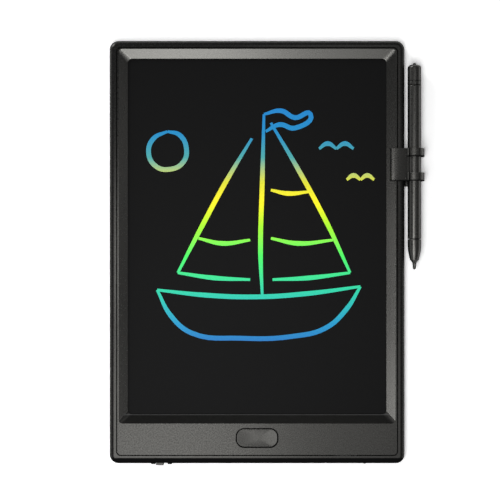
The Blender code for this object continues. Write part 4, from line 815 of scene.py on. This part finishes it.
def pen_curve(name, points):
    """A smooth round curve through the points, narrower at both ends."""
    curve = bpy.data.curves.new(name, "CURVE")
    curve.dimensions = "3D"
    curve.bevel_depth = STROKE_RADIUS
    curve.bevel_resolution = STROKE_ROUNDNESS
    curve.use_fill_caps = True
    curve.resolution_u = STROKE_STEPS
    spline = curve.splines.new("BEZIER")
    spline.bezier_points.add(len(points) - 1)
    for point, (x, y) in zip(spline.bezier_points, points):
        point.co = (x * MM, y * MM, 0)
        point.handle_left_type = "AUTO"
        point.handle_right_type = "AUTO"
    for end in (spline.bezier_points[0], spline.bezier_points[-1]):
        end.radius = STROKE_END_SHARE
    return curve


def pressed_flat(name, curve):
    """The curve as a bmesh, pressed flat onto the film."""
    guide = bpy.data.objects.new(name, curve)
    bm = bmesh.new()
    bm.from_mesh(guide.to_mesh())
    guide.to_mesh_clear()
    bpy.data.objects.remove(guide)
    bmesh.ops.remove_doubles(bm, verts=bm.verts, dist=MERGE)
    bmesh.ops.scale(bm, verts=bm.verts, vec=(1, 1, STROKE_THICKNESS / STROKE_RADIUS))
    bmesh.ops.translate(bm, verts=bm.verts, vec=(0, 0, FILM_TOP + STROKE_THICKNESS + STROKE_RISE))
    bmesh.ops.recalc_face_normals(bm, faces=bm.faces)
    return bm


for name, points in STROKES.items():
    line = add_piece("line_" + name, pressed_flat(name, pen_curve(name, points)), LINE, "tablet")

# %% [markdown]
# The photograph looks straight down on a white table, and it is exposed so that the table comes out
# pure white. A table that bright would also light the tablet's sides from below. So the camera and the
# mirrors see a table that is lighter than the one that lights the tablet, and only the shadow close to
# the tablet stays grey. Far from the tablet, seen rays find a table that simply glows white.

# %% Floor
FLOOR_SIZE = 40.0
LIT_RADIUS = 0.3
WHITE_RADIUS = 0.9
WHITE = (1, 1, 1)
TABLE_WHITE = (0.90, 0.90, 0.90)
TABLE_BOOST = (0.45, 0.45, 0.45)
TABLE_GLOW = (0.20, 0.20, 0.20)


def table_top():
    """White, brighter for seen rays than for light on its way, and glowing white far from the tablet."""
    finish = Finish("white_table", Roughness=0.9, Specular_IOR_Level=0.1, Base_Color=TABLE_WHITE)
    seen = finish.seen_rays("Camera", "Glossy", "Transmission")
    lit = finish.surface
    for kind, color in (("BsdfDiffuse", TABLE_BOOST), ("Emission", TABLE_GLOW)):
        lit = finish.node("AddShader", (), {0: lit, 1: finish.node(kind, (), {"Color": color})})
    finish.cover_with(seen, lit)
    distance = finish.node("VectorMath", {"operation": "LENGTH"}, {0: finish.place}, "Value")
    finish.cover(distance.eased(LIT_RADIUS, WHITE_RADIUS) * seen, "Emission", WHITE)
    return finish


floor_mesh = bpy.data.meshes.new("table")
bm = bmesh.new()
bmesh.ops.create_grid(bm, x_segments=1, y_segments=1, size=FLOOR_SIZE / 2)
bm.to_mesh(floor_mesh)
bm.free()
floor = bpy.data.objects.new("table", floor_mesh)
floor_mesh.materials.append(table_top().material)
bpy.context.scene.collection.objects.link(floor)
print("table", FLOOR_SIZE, "m")

# %% [markdown]
# The lamps are soft boxes, as in a studio. One large lamp would be simpler, but black plastic hardly
# scatters light, it mirrors it: a lamp shows only on the faces that mirror it towards the camera. The
# place of each box follows from what is light in the photograph. The strip box lights the chin and the
# top slope, the fade box their right part, and the mid box the left rim. The corner box lights the top
# right corner, the pen and plate boxes the stylus and its clip, and the north box the top rim. The side
# box stands at the right and lights the left slope. The far box lights the right slope and the sides
# from the upper left. Each row has the place of one lamp, its width, its height and its power.

# %% Lamps
TARGET = Vector((0, 0, 0.005))
UP_THE_TABLE = Vector((0, 1, 0))
LAMPS = {
    "strip_box": ((-0.105, -0.222, 0.48), 0.25, 0.25, 1.04),
    "fade_box": ((0.105, -0.17, 0.49), 0.17, 0.20, 0.18),
    "mid_box": ((-0.145, 0.0, 0.49), 0.10, 0.14, 0.11),
    "corner_box": ((-0.075, -0.015, 0.49), 0.09, 0.09, 0.34),
    "pen_box": ((0.035, 0.02, 0.50), 0.06, 0.18, 0.09),
    "plate_box": ((0.135, 0.10, 0.50), 0.05, 0.10, 0.03),
    "north_box": ((0.08, 0.215, 0.49), 0.16, 0.06, 0.045),
    "side_box": ((0.36, 0.10, 0.52), 0.30, 0.25, 0.05),
    "far_box": ((-0.95, 1.00, 0.55), 0.70, 0.40, 9.0),
}


def soft_box(name, place, width, height, power):
    """A rectangular area lamp at a place, turned to the tablet, with its width level with the table."""
    light = bpy.data.lights.new(name, "AREA")
    light.shape = "RECTANGLE"
    light.size = width
    light.size_y = height
    light.energy = power
    lamp = bpy.data.objects.new(name, light)
    back = (Vector(place) - TARGET).normalized()
    across = UP_THE_TABLE.cross(back).normalized()
    lamp.location = place
    lamp.rotation_euler = Matrix((across, back.cross(across), back)).transposed().to_euler()
    bpy.context.scene.collection.objects.link(lamp)


for name, (place, width, height, power) in LAMPS.items():
    soft_box(name, place, width, height, power)
print("lamps:", len(LAMPS))

# %% [markdown]
# The room beyond the lamps is a dark studio with pale walls. It shows in the sides of the tablet, so it
# is light near the horizon and almost black overhead. A picture of a real room could do it, but two
# stops of a ramp are enough for black plastic. Only the camera itself sees white all round. Mirrored
# rays keep the dark ceiling, because a white one would turn the black plastic grey.

# %% Room
HORIZON = [(0.15, (0.85, 0.85, 0.85)), (0.45, (0.04, 0.04, 0.04))]


def room():
    """The world's background: pale walls and a dark ceiling for the light, and white to the camera."""
    world = bpy.data.worlds.new("room")
    network = Network(world)
    network.tree.nodes.remove(network.tree.nodes["Background"])
    rise = network.part(network.node("TexCoord", output="Generated"), "Z")
    walls = network.node("Background", (), {"Color": network.ramp(rise, HORIZON)})
    backdrop = network.node("Background", (), {"Color": WHITE})
    choice = {0: network.seen_rays("Camera"), 1: walls, 2: backdrop}
    network.show(network.node("MixShader", (), choice), "World Output")
    return world


bpy.context.scene.world = room()
bpy.context.scene.view_settings.view_transform = "Standard"
print("room:", bpy.context.scene.world.name)

# %% [markdown]
# The camera stands straight above, 0.6 m over the rim. From nearer, the sides of the tablet would lean
# outwards more than they do in the photograph. The lens needn't be tried out: it follows from the width
# that the photograph takes in at that distance.

# %% Camera
CAMERA_HEIGHT = 0.600
PICTURE_WIDTH = 0.2889
CAMERA_X = -0.0041
CAMERA_Y = 0.0012
RIM_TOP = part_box("rear_cover")[1].z

optics = bpy.data.cameras.new("camera")
optics.lens = optics.sensor_width * CAMERA_HEIGHT / PICTURE_WIDTH
camera = bpy.data.objects.new("camera", optics)
camera.location = (CAMERA_X, CAMERA_Y, RIM_TOP + CAMERA_HEIGHT)
bpy.context.scene.collection.objects.link(camera)
bpy.context.scene.camera = camera
print("lens", round(optics.lens, 1), "mm")
